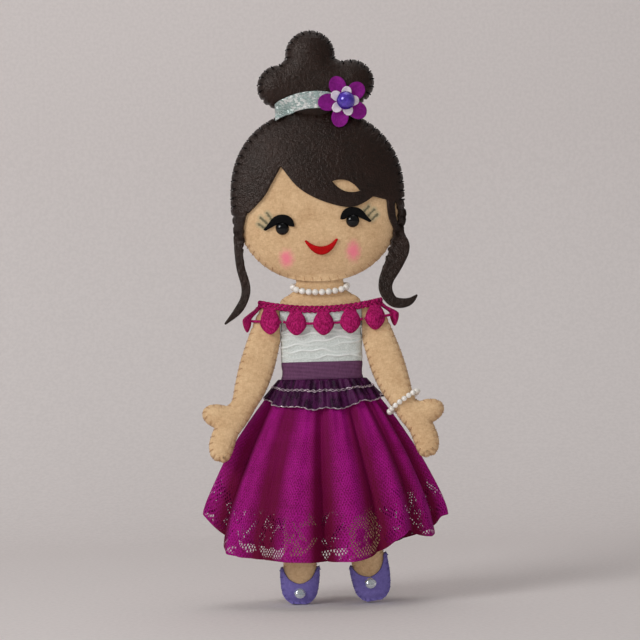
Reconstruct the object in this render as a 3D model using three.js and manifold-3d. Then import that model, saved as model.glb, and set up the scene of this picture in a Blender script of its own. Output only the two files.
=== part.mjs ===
// Felt doll: a flat, stuffed girl of hand-sewn felt in a lace skirt, with bead jewellery.
// Millimetres, +Z up; the face looks along -Y and the soles rest on Z = 0.
// Left and right are the viewer's: left is -X.
import * as THREE from "three";
import { mergeVertices } from "three/addons/utils/BufferGeometryUtils.js";
import Module from "manifold-3d";

const wasm = await Module();
wasm.setup();
const rad = THREE.MathUtils.degToRad;
const vec = (x, y, z) => new THREE.Vector3(x, y, z);

// Cloth thicknesses, and the gap between pieces that touch
const FELT = 1.3;
const LACE = 0.9;
const RIBBON = 0.8;
const CLEARANCE = 0.3;
const THIN_EDGE = 0.2; // least half thickness of a hollow or a filling at its seam

// The body's stack of heights, from the soles up
const LEG_LENGTH = 90.4; // hip axis to the end of the foot
const TORSO_LENGTH = 63; // hip axis to shoulder axis
const NECK_LENGTH = 16.5; // shoulder axis to the chin's edge
const HIP_Z = LEG_LENGTH + FELT + CLEARANCE;
const SHOULDER_Z = HIP_Z + TORSO_LENGTH;
const CHIN_Z = SHOULDER_Z + NECK_LENGTH;

// Head, with face and hair
const HEAD_WIDTH = 89.4;
const HEAD_HEIGHT = 90;
const HEAD_DEPTH = 29;
const HEAD_SQUARENESS = 2.25; // exponent of the outline; 2 is an ellipse
const HEAD_Z = CHIN_Z + HEAD_HEIGHT / 2;
const FACE_TILT = 4.7; // degrees, the right side higher
const FACE_SHIFT = -1.6; // the whole face, to the left
const EYE_SPACING = 37.2;
const EYE_DROP = 15.1; // below the head's centre
const EYE_RADIUS = 3.6;
const EYE_HEIGHT = 2.8;
const MOUTH_DROP = 26.3;
const MOUTH_WIDTH = 17.6;
const HAIR_LIFT = CLEARANCE + FELT; // from the head's panel to the outside of its hair
const LOCK_LEAN = 12; // degrees the hanging locks lean forward

// Bun, band and flower on top of the head, measured from the head's centre
const BUN_DEPTH = 19;
const BUN_Z = HEAD_HEIGHT / 2 + 15;
const BAND_Z = HEAD_HEIGHT / 2 + 6;
const BAND_HEIGHT = 9;
const BAND_DROP = 5.2; // how much lower the band lies at its ends
const FLOWER_X = 16;
const FLOWER_Z = HEAD_HEIGHT / 2 + 5.6;
const FLOWER_RADIUS = 14;
const FLOWER_TURN = 12; // degrees to the right
const PETAL_START = 39; // degrees, where the first outer petal points
const PEARL_RADIUS = 4.9;

// Torso
const CHEST_WIDTH = 40;
const CHEST_DEPTH = 18;
const SHOULDER_WIDTH = 43.2;
const HIP_WIDTH = 48;
const NECK_WIDTH = 25;
const NECK_DEPTH = 9;
const NOD = 8; // degrees of nod either way
const NECK_INSERT = 5; // the nod's axis lies this far above the chin's edge
const NECK_Z = CHIN_Z + NECK_INSERT;

// Clothes
const BELT_RISE = 28; // the belt's lower edge above the hip axis
const BELT_HEIGHT = 8.7;
const BELT_Z = HIP_Z + BELT_RISE;
const BLOUSE_DROP = 5; // its upper edge below the shoulder axis
const SKIRT_LENGTH = 94.5; // in front, where it is longest
const SKIRT_WIDTH = 117;
const SKIRT_DEPTH = 62;
const SKIRT_SWELL = 1.45; // 1 is a straight cone; more is rounder under the waist
const FOLD_DEPTH = 5.2;
const RUFFLE_SHARE = 0.164; // part of the skirt's length that the ruffle covers in front
const RUFFLE_PLEAT = 1.6;

// Trim of braid and pompoms round the shoulders
const BRAID_RADIUS = 1.4;
const BRAID_RISE = 5.3; // above the shoulder axis, at the sides
const BRAID_SAG = 3.6;
const BRAID_WIDTH = 64;
const POMPOM_RADIUS = 5.3;
const POMPOM_THICKNESS = 4.4;
const POMPOM_TURN = 2; // degrees that the row of pompoms is turned round the shoulders
const POMPOM_DROP = 6.5; // centre below the shoulder axis
const POMPOM_SPACING = 14.3;

// Arms
const SHOULDER_X = 26;
const ARM_LENGTH = 84;
const ARM_WIDTH = 18.4;
const ARM_SPREAD = 17; // degrees outward
const ARM_LEAN = 12; // degrees forward
const THUMB_LENGTH = 19;
const THUMB_WIDTH = 12.6;
const THUMB_REACH = 11.6; // the thumb's middle from the arm's axis
const THUMB_DROP = 61;

// Legs and shoes
const HIP_X = 12;
const LEG_TOP = 5.5; // radius of the leg's rounded top
const LEG_SPREAD = { left: 2, right: 8 }; // degrees outward
const LEG_WIDTH = 18;
const LEG_DEPTH = 10.4;
// Heights over the sole of a shoe's two tips and of its neckline, and the place of its stone
const SHOES = {
  left: { outer: 19.4, inner: 20.1, low: 11.3, stone: [0.2, 7] },
  right: { outer: 24.3, inner: 20.1, low: 13.5, stone: [-0.6, 10.6] },
};
const STONE_RADIUS = 3;

// Strung beads
const BEAD_RADIUS = 1.5;
const NECKLACE_SAG = 4.2;
const THREAD_RADIUS = 0.6;

const FINISH = {
  skin: { color: 0xd8b78e, roughness: 0.95, metalness: 0 },
  hair: { color: 0x4a3c37, roughness: 0.95, metalness: 0 },
  filling: { color: 0xf2efe6, roughness: 1, metalness: 0 },
  band: { color: 0xc3cfca, roughness: 0.35, metalness: 0.6 },
  petal: { color: 0x86217e, roughness: 0.9, metalness: 0 },
  palePetal: { color: 0xdccbd9, roughness: 0.9, metalness: 0 },
  violetPearl: { color: 0x4b2fa8, roughness: 0.25, metalness: 0 },
  eye: { color: 0x0a0a0a, roughness: 0.12, metalness: 0 },
  lid: { color: 0x161414, roughness: 0.95, metalness: 0 },
  mouth: { color: 0xc81018, roughness: 0.9, metalness: 0 },
  whitePearl: { color: 0xeae5de, roughness: 0.25, metalness: 0 },
  blouse: { color: 0xd2d6d2, roughness: 0.85, metalness: 0 },
  trim: { color: 0xa81c68, roughness: 0.9, metalness: 0 },
  belt: { color: 0x6b4675, roughness: 0.75, metalness: 0 },
  ruffle: { color: 0x3c1e52, roughness: 0.8, metalness: 0 },
  skirt: { color: 0x8c146e, roughness: 0.85, metalness: 0 },
  shoe: { color: 0x50468c, roughness: 0.95, metalness: 0 },
  stone: { color: 0xe8eef4, roughness: 0.05, metalness: 0 },
};

// A three.js geometry as a solid that can be joined and cut
function solid(geometry) {
  const bare = new THREE.BufferGeometry();
  bare.setAttribute("position", geometry.getAttribute("position"));
  bare.setIndex(geometry.index);
  const welded = mergeVertices(bare, 1e-4);
  const corners = welded.index.array;
  const faces = [];
  for (let i = 0; i < corners.length; i += 3) {
    const [a, b, c] = corners.slice(i, i + 3);
    if (a !== b && b !== c && c !== a) faces.push(a, b, c);
  }
  const vertProperties = new Float32Array(welded.getAttribute("position").array);
  return new wasm.Manifold(
    new wasm.Mesh({ numProp: 3, vertProperties, triVerts: new Uint32Array(faces) }),
  );
}

// A named piece with its own material, from a solid
function piece(name, body, finish) {
  const { vertProperties, triVerts } = body.getMesh();
  const geometry = new THREE.BufferGeometry();
  geometry.setAttribute("position", new THREE.BufferAttribute(vertProperties, 3));
  geometry.setIndex(new THREE.BufferAttribute(triVerts, 1));
  const mesh = new THREE.Mesh(geometry, new THREE.MeshStandardMaterial(finish));
  mesh.name = name;
  return mesh;
}

// A box between two corners
function box(low, high) {
  const size = high.clone().sub(low);
  const centre = low.clone().add(high).multiplyScalar(0.5);
  const geometry = new THREE.BoxGeometry(size.x, size.y, size.z);
  return geometry.translate(centre.x, centre.y, centre.z);
}

const FAR = 400;
const FRONT = solid(box(vec(-FAR, -FAR, -FAR), vec(FAR, -CLEARANCE / 2, FAR)));
const BACK = solid(box(vec(-FAR, CLEARANCE / 2, -FAR), vec(FAR, FAR, FAR)));
const between = (low, high) => solid(box(vec(-FAR, -FAR, low), vec(FAR, FAR, high)));

// An outline in X and Z, carried through the whole depth or from one Y to another
function prism(shape, from = -FAR, to = FAR) {
  const geometry = new THREE.ExtrudeGeometry(shape, {
    depth: to - from,
    bevelEnabled: false,
    curveSegments: 4,
  });
  return solid(geometry.rotateX(Math.PI / 2).translate(0, to, 0));
}

const points2 = (...pairs) => pairs.map(([x, z]) => new THREE.Vector2(x, z));

// A closed outline from its radius at each angle
function polarShape(radiusAt, steps) {
  const corners = [];
  for (let i = 0; i < steps; i++) {
    const angle = (i / steps) * 2 * Math.PI;
    corners.push([radiusAt(angle) * Math.cos(angle), radiusAt(angle) * Math.sin(angle)]);
  }
  return new THREE.Shape(points2(...corners));
}

// A closed solid through rows of points; a looped one joins its last row to its first, and the
// facets of its way back lie level with those of its way out
function loft(rows, looped = false) {
  const count = rows[0].length;
  const points = rows.flat();
  const faces = [];
  const joints = looped ? rows.length : rows.length - 1;
  for (let i = 0; i < joints; i++) {
    const a = i * count;
    const b = ((i + 1) % rows.length) * count;
    for (let j = 0; j < count; j++) {
      const k = (j + 1) % count;
      if (looped && i >= joints / 2) faces.push([a + j, a + k, b + j], [a + k, b + k, b + j]);
      else faces.push([a + j, a + k, b + k], [a + j, b + k, b + j]);
    }
  }
  if (!looped) {
    for (const [row, start, turn] of [[rows[0], 0, 1], [rows.at(-1), points.length - count, 0]]) {
      const middle = row.reduce((sum, point) => sum.add(point), vec(0, 0, 0)).divideScalar(count);
      const tip = points.push(middle) - 1;
      for (let j = 0; j < count; j++) {
        const k = (j + 1) % count;
        faces.push(turn ? [tip, start + k, start + j] : [tip, start + j, start + k]);
      }
    }
  }
  const volume = faces.reduce(
    (sum, [a, b, c]) => sum + points[a].dot(points[b].clone().cross(points[c])),
    0,
  );
  if (volume < 0) faces.forEach((face) => face.reverse());
  const geometry = new THREE.BufferGeometry().setFromPoints(points);
  return geometry.setIndex(faces.flat());
}

// A stuffed cushion: thickest in its middle, thin at its seam, grown or shrunk all round
function cushion(radiusAt, depth, grow, steps, rings) {
  const rim = Math.max(FELT + grow, THIN_EDGE);
  const rows = [];
  for (const face of [-1, 1]) {
    for (let i = 1; i <= rings; i++) {
      const ring = face < 0 ? i : rings + 1 - i;
      const swell = ((ring - 0.5) / (rings - 0.5)) * (Math.PI / 2);
      const y = face * (rim + (depth / 2 + grow - rim) * Math.cos(swell));
      const row = [];
      for (let j = 0; j < steps; j++) {
        const angle = (j / steps) * 2 * Math.PI;
        const radius = (radiusAt(angle) + grow) * Math.sin(swell);
        row.push(vec(radius * Math.cos(angle), y, radius * Math.sin(angle)));
      }
      rows.push(row);
    }
  }
  return loft(rows);
}

// Half thickness of a cushion at a point of its outline's plane
function cushionFront(radiusAt, depth, grow, x, z) {
  const share = Math.hypot(x, z) / (radiusAt(Math.atan2(z, x)) + grow);
  const rim = FELT + grow;
  return rim + (depth / 2 + grow - rim) * Math.sqrt(Math.max(0, 1 - share * share));
}

// A stuffed limb through stations from its lower end up, each a lens with a thin seam at its sides
function limb(stations, grow, steps) {
  const rim = Math.max(FELT + grow, THIN_EDGE);
  const rows = stations.map(({ x = 0, z, width, depth }, i) => {
    const end = i === 0 ? -grow : i === stations.length - 1 ? grow : 0;
    const halfWidth = Math.max(width / 2 + grow, rim);
    const halfDepth = Math.max(depth / 2 + grow, rim);
    const row = [];
    for (const face of [-1, 1]) {
      for (let k = 0; k <= steps; k++) {
        const angle = (k / steps) * Math.PI;
        const y = face * (rim + (halfDepth - rim) * Math.sin(angle));
        row.push(vec(x + face * Math.cos(angle) * halfWidth, y, z + end));
      }
    }
    return row;
  });
  return loft(rows);
}

// Width and depth of a limb at a height, between its stations
function stationAt(stations, z) {
  const above = Math.max(1, stations.findIndex((station) => station.z >= z));
  const [low, high] = [stations[above - 1], stations[above]];
  const share = (z - low.z) / (high.z - low.z);
  return {
    width: THREE.MathUtils.lerp(low.width, high.width, share),
    depth: THREE.MathUtils.lerp(low.depth, high.depth, share),
  };
}

// Half thickness of a limb at a point of its seam's plane
function limbFront(stations, grow, x, z) {
  const { width, depth } = stationAt(stations, z);
  const share = x / (width / 2 + grow);
  return FELT + grow + (depth / 2 - FELT) * Math.sqrt(Math.max(0, 1 - share * share));
}

// Two felt panels that meet in a seam, and the filling between them
function stuffed(name, form, finish, cut) {
  const trimmed = (body) => (cut ? body.subtract(cut) : body);
  const shell = trimmed(form(0).subtract(form(-FELT)));
  return [
    piece(`${name}_front`, shell.intersect(FRONT), finish),
    piece(`${name}_back`, shell.intersect(BACK), finish),
    piece(`${name}_filling`, trimmed(form(-FELT - CLEARANCE, true)), FINISH.filling),
  ];
}

// A skin of cloth over a stuffed form
const skin = (form, cloth, lift = CLEARANCE) => form(lift + cloth).subtract(form(lift));

// Puts a small ornament made along -Y on a swelling front, square to it
function seat(mesh, front, x, z) {
  const step = 0.5;
  const slopeX = (front(x + step, z) - front(x - step, z)) / (2 * step);
  const slopeZ = (front(x, z + step) - front(x, z - step)) / (2 * step);
  const normal = vec(-slopeX, -1, -slopeZ).normalize();
  mesh.position.set(x, -front(x, z), z).addScaledVector(normal, CLEARANCE);
  mesh.quaternion.setFromUnitVectors(vec(0, -1, 0), normal);
  return mesh;
}

// A turned ornament with a flat back, its front towards -Y
function turned(profile, segments) {
  return solid(new THREE.LatheGeometry(points2(...profile), segments).rotateX(Math.PI));
}

// A string of beads round a closed path
function beads(pathAt, count) {
  const rings = [THREAD_RADIUS, BEAD_RADIUS, BEAD_RADIUS];
  const sides = 5;
  const rows = [];
  for (let i = 0; i < count * rings.length; i++) {
    const at = (i / (count * rings.length)) * 2 * Math.PI;
    const centre = pathAt(at);
    const along = pathAt(at + 0.01).sub(pathAt(at - 0.01)).normalize();
    const across = vec(0, 0, 1).addScaledVector(along, -along.z).normalize();
    const out = along.clone().cross(across);
    const row = [];
    for (let j = 0; j < sides; j++) {
      const angle = (j / sides) * 2 * Math.PI;
      const radius = rings[i % rings.length];
      const point = centre.clone().addScaledVector(out, radius * Math.cos(angle));
      row.push(point.addScaledVector(across, radius * Math.sin(angle)));
    }
    rows.push(row);
  }
  return solid(loft(rows, true));
}

// How many beads fit round an ellipse
function beadCount(a, b) {
  const h = ((a - b) / (a + b)) ** 2;
  return Math.round((Math.PI * (a + b) * (1 + h / 4)) / (2 * BEAD_RADIUS));
}

// Outline of a lock of hair: a ribbon of changing width along a curve
function lockShape(spine) {
  const curve = new THREE.SplineCurve(points2(...spine));
  const steps = 3 * (spine.length - 1);
  const sides = [[], []];
  for (let i = 0; i <= steps; i++) {
    const at = (i / steps) * (spine.length - 1);
    const low = Math.min(Math.floor(at), spine.length - 2);
    const half = THREE.MathUtils.lerp(spine[low][2], spine[low + 1][2], at - low) / 2;
    const middle = curve.getPoint(i / steps);
    const ahead = curve.getTangent(i / steps);
    sides[0].push(new THREE.Vector2(middle.x - ahead.y * half, middle.y + ahead.x * half));
    sides[1].unshift(new THREE.Vector2(middle.x + ahead.y * half, middle.y - ahead.x * half));
  }
  return new THREE.Shape([...sides[0], ...sides[1]]);
}

// Head

const headRadius = (angle) => {
  const across = Math.abs(Math.cos(angle) / (HEAD_WIDTH / 2)) ** HEAD_SQUARENESS;
  const up = Math.abs(Math.sin(angle) / (HEAD_HEIGHT / 2)) ** HEAD_SQUARENESS;
  return (across + up) ** (-1 / HEAD_SQUARENESS);
};
const headForm = (grow, coarse) => solid(cushion(headRadius, HEAD_DEPTH, grow, coarse ? 16 : 32, 4));
const headFront = (grow) => (x, z) => cushionFront(headRadius, HEAD_DEPTH, grow, x, z);

// The pocket for the neck's round top, flared below so that the head can nod
function neckPocket() {
  const radius = NECK_DEPTH / 2 + CLEARANCE;
  const depth = NECK_INSERT * 3;
  const mouth = radius / Math.cos(rad(NOD)) + depth * Math.tan(rad(NOD));
  const shape = new THREE.Shape();
  shape.absarc(0, 0, radius, 0, Math.PI, false);
  shape.lineTo(-mouth, -depth);
  shape.lineTo(mouth, -depth);
  const length = NECK_WIDTH + 2 * CLEARANCE;
  const geometry = new THREE.ExtrudeGeometry(shape, {
    depth: length,
    bevelEnabled: false,
    curveSegments: 8,
  });
  const stand = new THREE.Matrix4().makeBasis(vec(0, 1, 0), vec(0, 0, 1), vec(1, 0, 0));
  geometry.applyMatrix4(stand).translate(-length / 2, 0, NECK_Z - HEAD_Z);
  return solid(geometry);
}

// The hair's and the bun's outlines are drawn for a head 89.4 wide and grow with it
const UNIT = HEAD_WIDTH / 89.4;
const drawn = (...pairs) => points2(...pairs.map(([x, z]) => [x * UNIT, z * UNIT]));
const SIDE = HEAD_WIDTH / 2;
const LOCK_START = { left: -8.3 * UNIT, right: -4.2 * UNIT };

// The fringe and the left sweep in one sheet, with a lens-shaped opening in the fringe
function frontHairShape() {
  const [parting] = drawn([-19, 16]);
  const shape = new THREE.Shape();
  shape.moveTo(parting.x, parting.y);
  shape.splineThru(drawn(
    [-10.9, 5.4], [-0.9, -1.3], [11.8, -5.8], [19.8, -6.1], [26, -3.4], [29.4, -1],
  ));
  shape.lineTo(37.5 * UNIT, LOCK_START.right);
  shape.lineTo(2 * SIDE, LOCK_START.right);
  shape.lineTo(2 * SIDE, HEAD_HEIGHT);
  shape.lineTo(-2 * SIDE, HEAD_HEIGHT);
  shape.lineTo(-2 * SIDE, LOCK_START.left);
  shape.lineTo(-37 * UNIT, LOCK_START.left);
  shape.splineThru([...drawn([-28.6, 0], [-24.4, 6.7]), parting]);
  shape.holes.push(new THREE.Path(drawn(
    [7.9, 7.4], [12.2, 8.2], [16.4, 7.7], [19.9, 5.6], [22.6, 2], [18.2, 1.5], [14.2, 2.2], [10.8, 4.3],
  )));
  return shape;
}

// Points of each lock's middle line with its width there
const LOCKS = {
  left: [
    [-41.8, -6.3, 9.2], [-42.6, -14, 5.6], [-42.8, -24, 4.6], [-41.8, -36, 4.6],
    [-39.2, -46.5, 4.8], [-40, -53.2, 4.4], [-43.8, -59.6, 4], [-50.7, -66.4, 0.8],
  ],
  right: [
    [41, -2.2, 8.6], [42.4, -11.5, 9.4], [43, -19.6, 5], [43.3, -27.4, 10], [39.8, -36, 9.6],
    [35.4, -44.6, 7.8], [34.8, -50.6, 7], [38, -56.2, 5.6], [43, -57.6, 5], [47.6, -56.6, 3.6],
    [51.4, -53.4, 0.8],
  ],
};
for (const side of ["left", "right"]) {
  LOCKS[side] = LOCKS[side].map((point) => point.map((number) => number * UNIT));
}

// A lock follows the head's edge and then hangs free, leaning forward
function lock(side) {
  const back = -(FELT + CLEARANCE);
  const hanging = box(vec(-FAR, back - FELT, -FAR), vec(FAR, back, 0));
  hanging.rotateX(-rad(LOCK_LEAN)).translate(0, 0, LOCKS[side][1][1] - 3);
  const felt = skin(headForm, FELT).add(solid(hanging).subtract(headForm(CLEARANCE)));
  const below = between(-FAR, LOCK_START[side] - CLEARANCE);
  return felt.intersect(prism(lockShape(LOCKS[side]), -FAR, -CLEARANCE / 2)).intersect(below);
}

function hair(pocket) {
  const cap = skin(headForm, FELT);
  const nape = polarShape((angle) => headRadius(angle) - 2 * FELT, 36);
  const behind = prism(nape).add(between(0, FAR));
  const slit = new THREE.Shape(drawn(
    [41, -5.6], [43, -8.8], [43.4, -12], [42.4, -16.9], [41.7, -12], [41.3, -8.8],
  ));
  const front = cap.intersect(FRONT).intersect(prism(frontHairShape(), -FAR, 0));
  return [
    piece("hair_front", front, FINISH.hair),
    piece("hair_back", cap.intersect(BACK).intersect(behind).subtract(pocket), FINISH.hair),
    piece("side_lock_left", lock("left"), FINISH.hair),
    piece("side_lock_right", lock("right").subtract(prism(slit)), FINISH.hair),
  ];
}

// A place on the face, turned by the face's tilt
function facePoint(x, z) {
  const tilt = rad(FACE_TILT);
  const across = x * Math.cos(tilt) - z * Math.sin(tilt);
  return [FACE_SHIFT + across, x * Math.sin(tilt) + z * Math.cos(tilt)];
}

// Arched black lid over an eye, its long tip outward
function lidShape(side, x, z) {
  const size = EYE_RADIUS / 3.6;
  const at = (u, v) => [x + side * u * size, z + v * size];
  const shape = new THREE.Shape();
  shape.moveTo(...at(-6.4, 0.6));
  shape.quadraticCurveTo(...at(-5.8, 6.8), ...at(0.2, 6.9));
  shape.quadraticCurveTo(...at(4.2, 6.8), ...at(6.8, 3.2));
  shape.lineTo(...at(9.9, -0.4));
  shape.lineTo(...at(9, -1));
  shape.quadraticCurveTo(...at(6.2, 0.6), ...at(4.1, 1.4));
  shape.lineTo(...at(-4.1, 1));
  return shape;
}

function face() {
  const pieces = [];
  const felt = skin(headForm, FELT).intersect(FRONT);
  for (const [name, side] of [["left", -1], ["right", 1]]) {
    const [x, z] = facePoint((side * EYE_SPACING * UNIT) / 2, -EYE_DROP * UNIT);
    const dome = [[0, 0]];
    for (let i = 0; i <= 4; i++) {
      const angle = (i / 4) * (Math.PI / 2);
      dome.push([i === 4 ? 0 : EYE_RADIUS * Math.cos(angle), EYE_HEIGHT * Math.sin(angle)]);
    }
    const eye = piece(`eye_${name}`, turned(dome, 12), FINISH.eye);
    pieces.push(seat(eye, headFront(0), x, z));
    const hole = new THREE.Shape().absarc(x, z, EYE_RADIUS + 2 * CLEARANCE, 0, 2 * Math.PI);
    const lid = felt.intersect(prism(lidShape(side, x, z))).subtract(prism(hole));
    pieces.push(piece(`lid_${name}`, lid, FINISH.lid));
  }
  const [x, z] = facePoint(0.9, -MOUTH_DROP);
  const size = MOUTH_WIDTH / 17.6;
  const at = (u, v) => [x + u * size, z + v * size];
  const smile = new THREE.Shape();
  smile.moveTo(...at(-8.8, 2.2));
  smile.quadraticCurveTo(...at(-4.8, -5), ...at(0, -5));
  smile.quadraticCurveTo(...at(5.4, -4.8), ...at(8.8, 2.9));
  smile.lineTo(...at(7.6, 3.3));
  smile.quadraticCurveTo(...at(4.2, -0.6), ...at(0, -0.6));
  smile.quadraticCurveTo(...at(-4.2, -0.6), ...at(-7.8, 2.8));
  pieces.push(piece("mouth", felt.intersect(prism(smile)), FINISH.mouth));
  return pieces;
}

// Bun: four round lobes round a middle, sitting astride the head's edge
const LOBES = [[-2, 15.5, 13.2], [-19, -1, 11.6], [19.5, 0.5, 12.2], [0, -4, 17.5]];
function bunRadius(angle) {
  const reach = LOBES.map((lobe) => {
    const [x, z, radius] = lobe.map((number) => number * UNIT);
    const along = x * Math.cos(angle) + z * Math.sin(angle);
    const aside = x * Math.sin(angle) - z * Math.cos(angle);
    return Math.abs(aside) < radius ? along + Math.sqrt(radius ** 2 - aside ** 2) : 0;
  });
  return Math.max(...reach);
}
const bunCushion = (grow) => cushion(bunRadius, BUN_DEPTH, grow, 36, 3).translate(0, 0, BUN_Z);
const bunForm = (grow) => solid(bunCushion(grow)).subtract(headForm(HAIR_LIFT + CLEARANCE - grow));

// Ribbon round the bun's foot, arched like the head's top
function hairband() {
  const arch = new THREE.Shape();
  const end = SIDE;
  const fall = BAND_DROP * (end / 20) ** 2;
  const edge = (from, to, z) => {
    arch.lineTo(from, z - fall);
    arch.quadraticCurveTo(0, z + fall, to, z - fall);
  };
  arch.moveTo(-end, BAND_Z + BAND_HEIGHT / 2 - fall);
  edge(-end, end, BAND_Z + BAND_HEIGHT / 2);
  edge(end, -end, BAND_Z - BAND_HEIGHT / 2);
  const loop = skin((grow) => solid(bunCushion(grow)), RIBBON).intersect(prism(arch));
  return piece("hairband", loop.subtract(headForm(HAIR_LIFT + CLEARANCE)), FINISH.band);
}

// Five rounded petals
const petals = (radius, start) => (angle) =>
  radius * (0.6 + 0.4 * Math.sqrt(Math.abs(Math.cos(2.5 * (angle - rad(start))))));

function flower() {
  const group = new THREE.Group();
  const turn = rad(FLOWER_TURN);
  let y = 0;
  for (let i = 0; i <= 10; i++) {
    const reach = i ? FLOWER_RADIUS : 0;
    const u = reach * Math.cos((i / 5) * Math.PI);
    const v = reach * Math.sin((i / 5) * Math.PI);
    const [x, z] = [FLOWER_X + u * Math.cos(turn), FLOWER_Z + v];
    const onHead = Math.hypot(x, z) < headRadius(Math.atan2(z, x)) + HAIR_LIFT;
    const under = onHead
      ? headFront(HAIR_LIFT)(x, z)
      : cushionFront(bunRadius, BUN_DEPTH, CLEARANCE + RIBBON, x, z - BUN_Z);
    y = Math.min(y, -under - CLEARANCE - u * Math.sin(turn));
  }
  group.position.set(FLOWER_X, y, FLOWER_Z);
  group.rotation.z = turn;
  const inner = -FELT - CLEARANCE;
  const top = inner - FELT - CLEARANCE;
  const ball = [[0, 0]];
  for (let i = 0; i <= 6; i++) {
    const angle = rad(-50 + (140 / 6) * i);
    const radius = i === 6 ? 0 : PEARL_RADIUS * Math.cos(angle);
    ball.push([radius, PEARL_RADIUS * (Math.sin(angle) + Math.sin(rad(50)))]);
  }
  const pearl = piece("flower_pearl", turned(ball, 12), FINISH.violetPearl);
  pearl.position.y = top;
  group.add(
    piece("flower_outer", prism(polarShape(petals(FLOWER_RADIUS, PETAL_START), 40), -FELT, 0), FINISH.petal),
    piece(
      "flower_inner",
      prism(polarShape(petals(FLOWER_RADIUS * 0.58, PETAL_START + 36), 30), inner - FELT, inner),
      FINISH.palePetal,
    ),
    pearl,
  );
  return group;
}

function buildHead() {
  const group = new THREE.Group();
  group.position.z = HEAD_Z;
  const pocket = neckPocket();
  group.add(...stuffed("head", headForm, FINISH.skin, pocket), ...hair(pocket), ...face());
  group.add(...stuffed("bun", bunForm, FINISH.hair), hairband(), flower());
  return group;
}

// Torso: hips, a slim waist, a chest of even thickness, shoulders and a neck with a round top

const TORSO_FOOT = HIP_Z + LEG_TOP + CLEARANCE;
const neckRound = (rise) => 2 * Math.sqrt((NECK_DEPTH / 2) ** 2 - rise ** 2);
const TORSO = [
  { z: TORSO_FOOT, width: HIP_WIDTH * 0.71, depth: CHEST_DEPTH * 0.28 },
  { z: TORSO_FOOT + 2.4, width: HIP_WIDTH * 0.92, depth: CHEST_DEPTH * 0.61 },
  { z: TORSO_FOOT + 8, width: HIP_WIDTH, depth: CHEST_DEPTH * 0.94 },
  { z: BELT_Z - 5, width: HIP_WIDTH * 0.92, depth: CHEST_DEPTH },
  { z: BELT_Z + 2, width: CHEST_WIDTH * 0.97, depth: CHEST_DEPTH * 0.94 },
  { z: BELT_Z + BELT_HEIGHT, width: CHEST_WIDTH, depth: CHEST_DEPTH },
  { z: SHOULDER_Z - 12.5, width: CHEST_WIDTH, depth: CHEST_DEPTH },
  { z: SHOULDER_Z - BLOUSE_DROP, width: CHEST_WIDTH, depth: CHEST_DEPTH * 0.956 },
  { z: SHOULDER_Z - 1, width: SHOULDER_WIDTH, depth: CHEST_DEPTH * 0.89 },
  { z: SHOULDER_Z + 5, width: SHOULDER_WIDTH, depth: CHEST_DEPTH * 0.667 },
  { z: SHOULDER_Z + NECK_LENGTH * 0.45, width: SHOULDER_WIDTH * 0.965, depth: NECK_DEPTH * 1.2 },
  { z: SHOULDER_Z + NECK_LENGTH * 0.6, width: NECK_WIDTH * 1.32, depth: NECK_DEPTH * 1.1 },
  { z: SHOULDER_Z + NECK_LENGTH * 0.74, width: NECK_WIDTH * 1.04, depth: NECK_DEPTH },
  { z: NECK_Z, width: NECK_WIDTH, depth: NECK_DEPTH },
  { z: NECK_Z + NECK_DEPTH * 0.2, width: NECK_WIDTH, depth: neckRound(NECK_DEPTH * 0.2) },
  { z: NECK_Z + NECK_DEPTH * 0.46, width: NECK_WIDTH - 1, depth: neckRound(NECK_DEPTH * 0.46) },
];
const torsoForm = (grow) => solid(limb(TORSO, grow, 5));

// Directions of the skirt's folds, in degrees from the front, and how far down it falls there
const RIDGES = [-86, -54, -17, 14, 42, 67, 92, 118, 145, 172, 199, 226, 252];
const HEM = [
  [-180, 1], [-150, 0.97], [-120, 0.886], [-90, 0.738], [-76, 0.838], [-62, 0.943], [-40, 0.983],
  [-12, 1], [10, 1], [22, 0.983], [30, 0.947], [39, 0.888], [47, 0.849], [54, 0.873], [62, 0.891],
  [72, 0.883], [82, 0.839], [92, 0.78], [120, 0.886], [150, 0.97], [180, 1],
];
const SKIRT_TOP = BELT_Z - CLEARANCE;

// Angles of the cloth's upright lines: every ridge and hollow and the places between them
const SKIRT_LINES = RIDGES.flatMap((ridge, i) => {
  const next = i + 1 < RIDGES.length ? RIDGES[i + 1] : RIDGES[0] + 360;
  return [0, 0.25, 0.5, 0.75].map((share) => THREE.MathUtils.lerp(ridge, next, share));
});

function hemShare(degrees) {
  const at = THREE.MathUtils.euclideanModulo(degrees + 180, 360) - 180;
  const i = Math.max(1, HEM.findIndex(([angle]) => angle >= at));
  const [[from, low], [to, high]] = [HEM[i - 1], HEM[i]];
  return THREE.MathUtils.lerp(low, high, (at - from) / (to - from));
}

// The folds: 1 on a ridge and -1 in a narrow hollow
function foldAt(line) {
  return 2 * Math.abs(Math.cos(((line % 4) / 4) * Math.PI)) ** 0.7 - 1;
}

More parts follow.
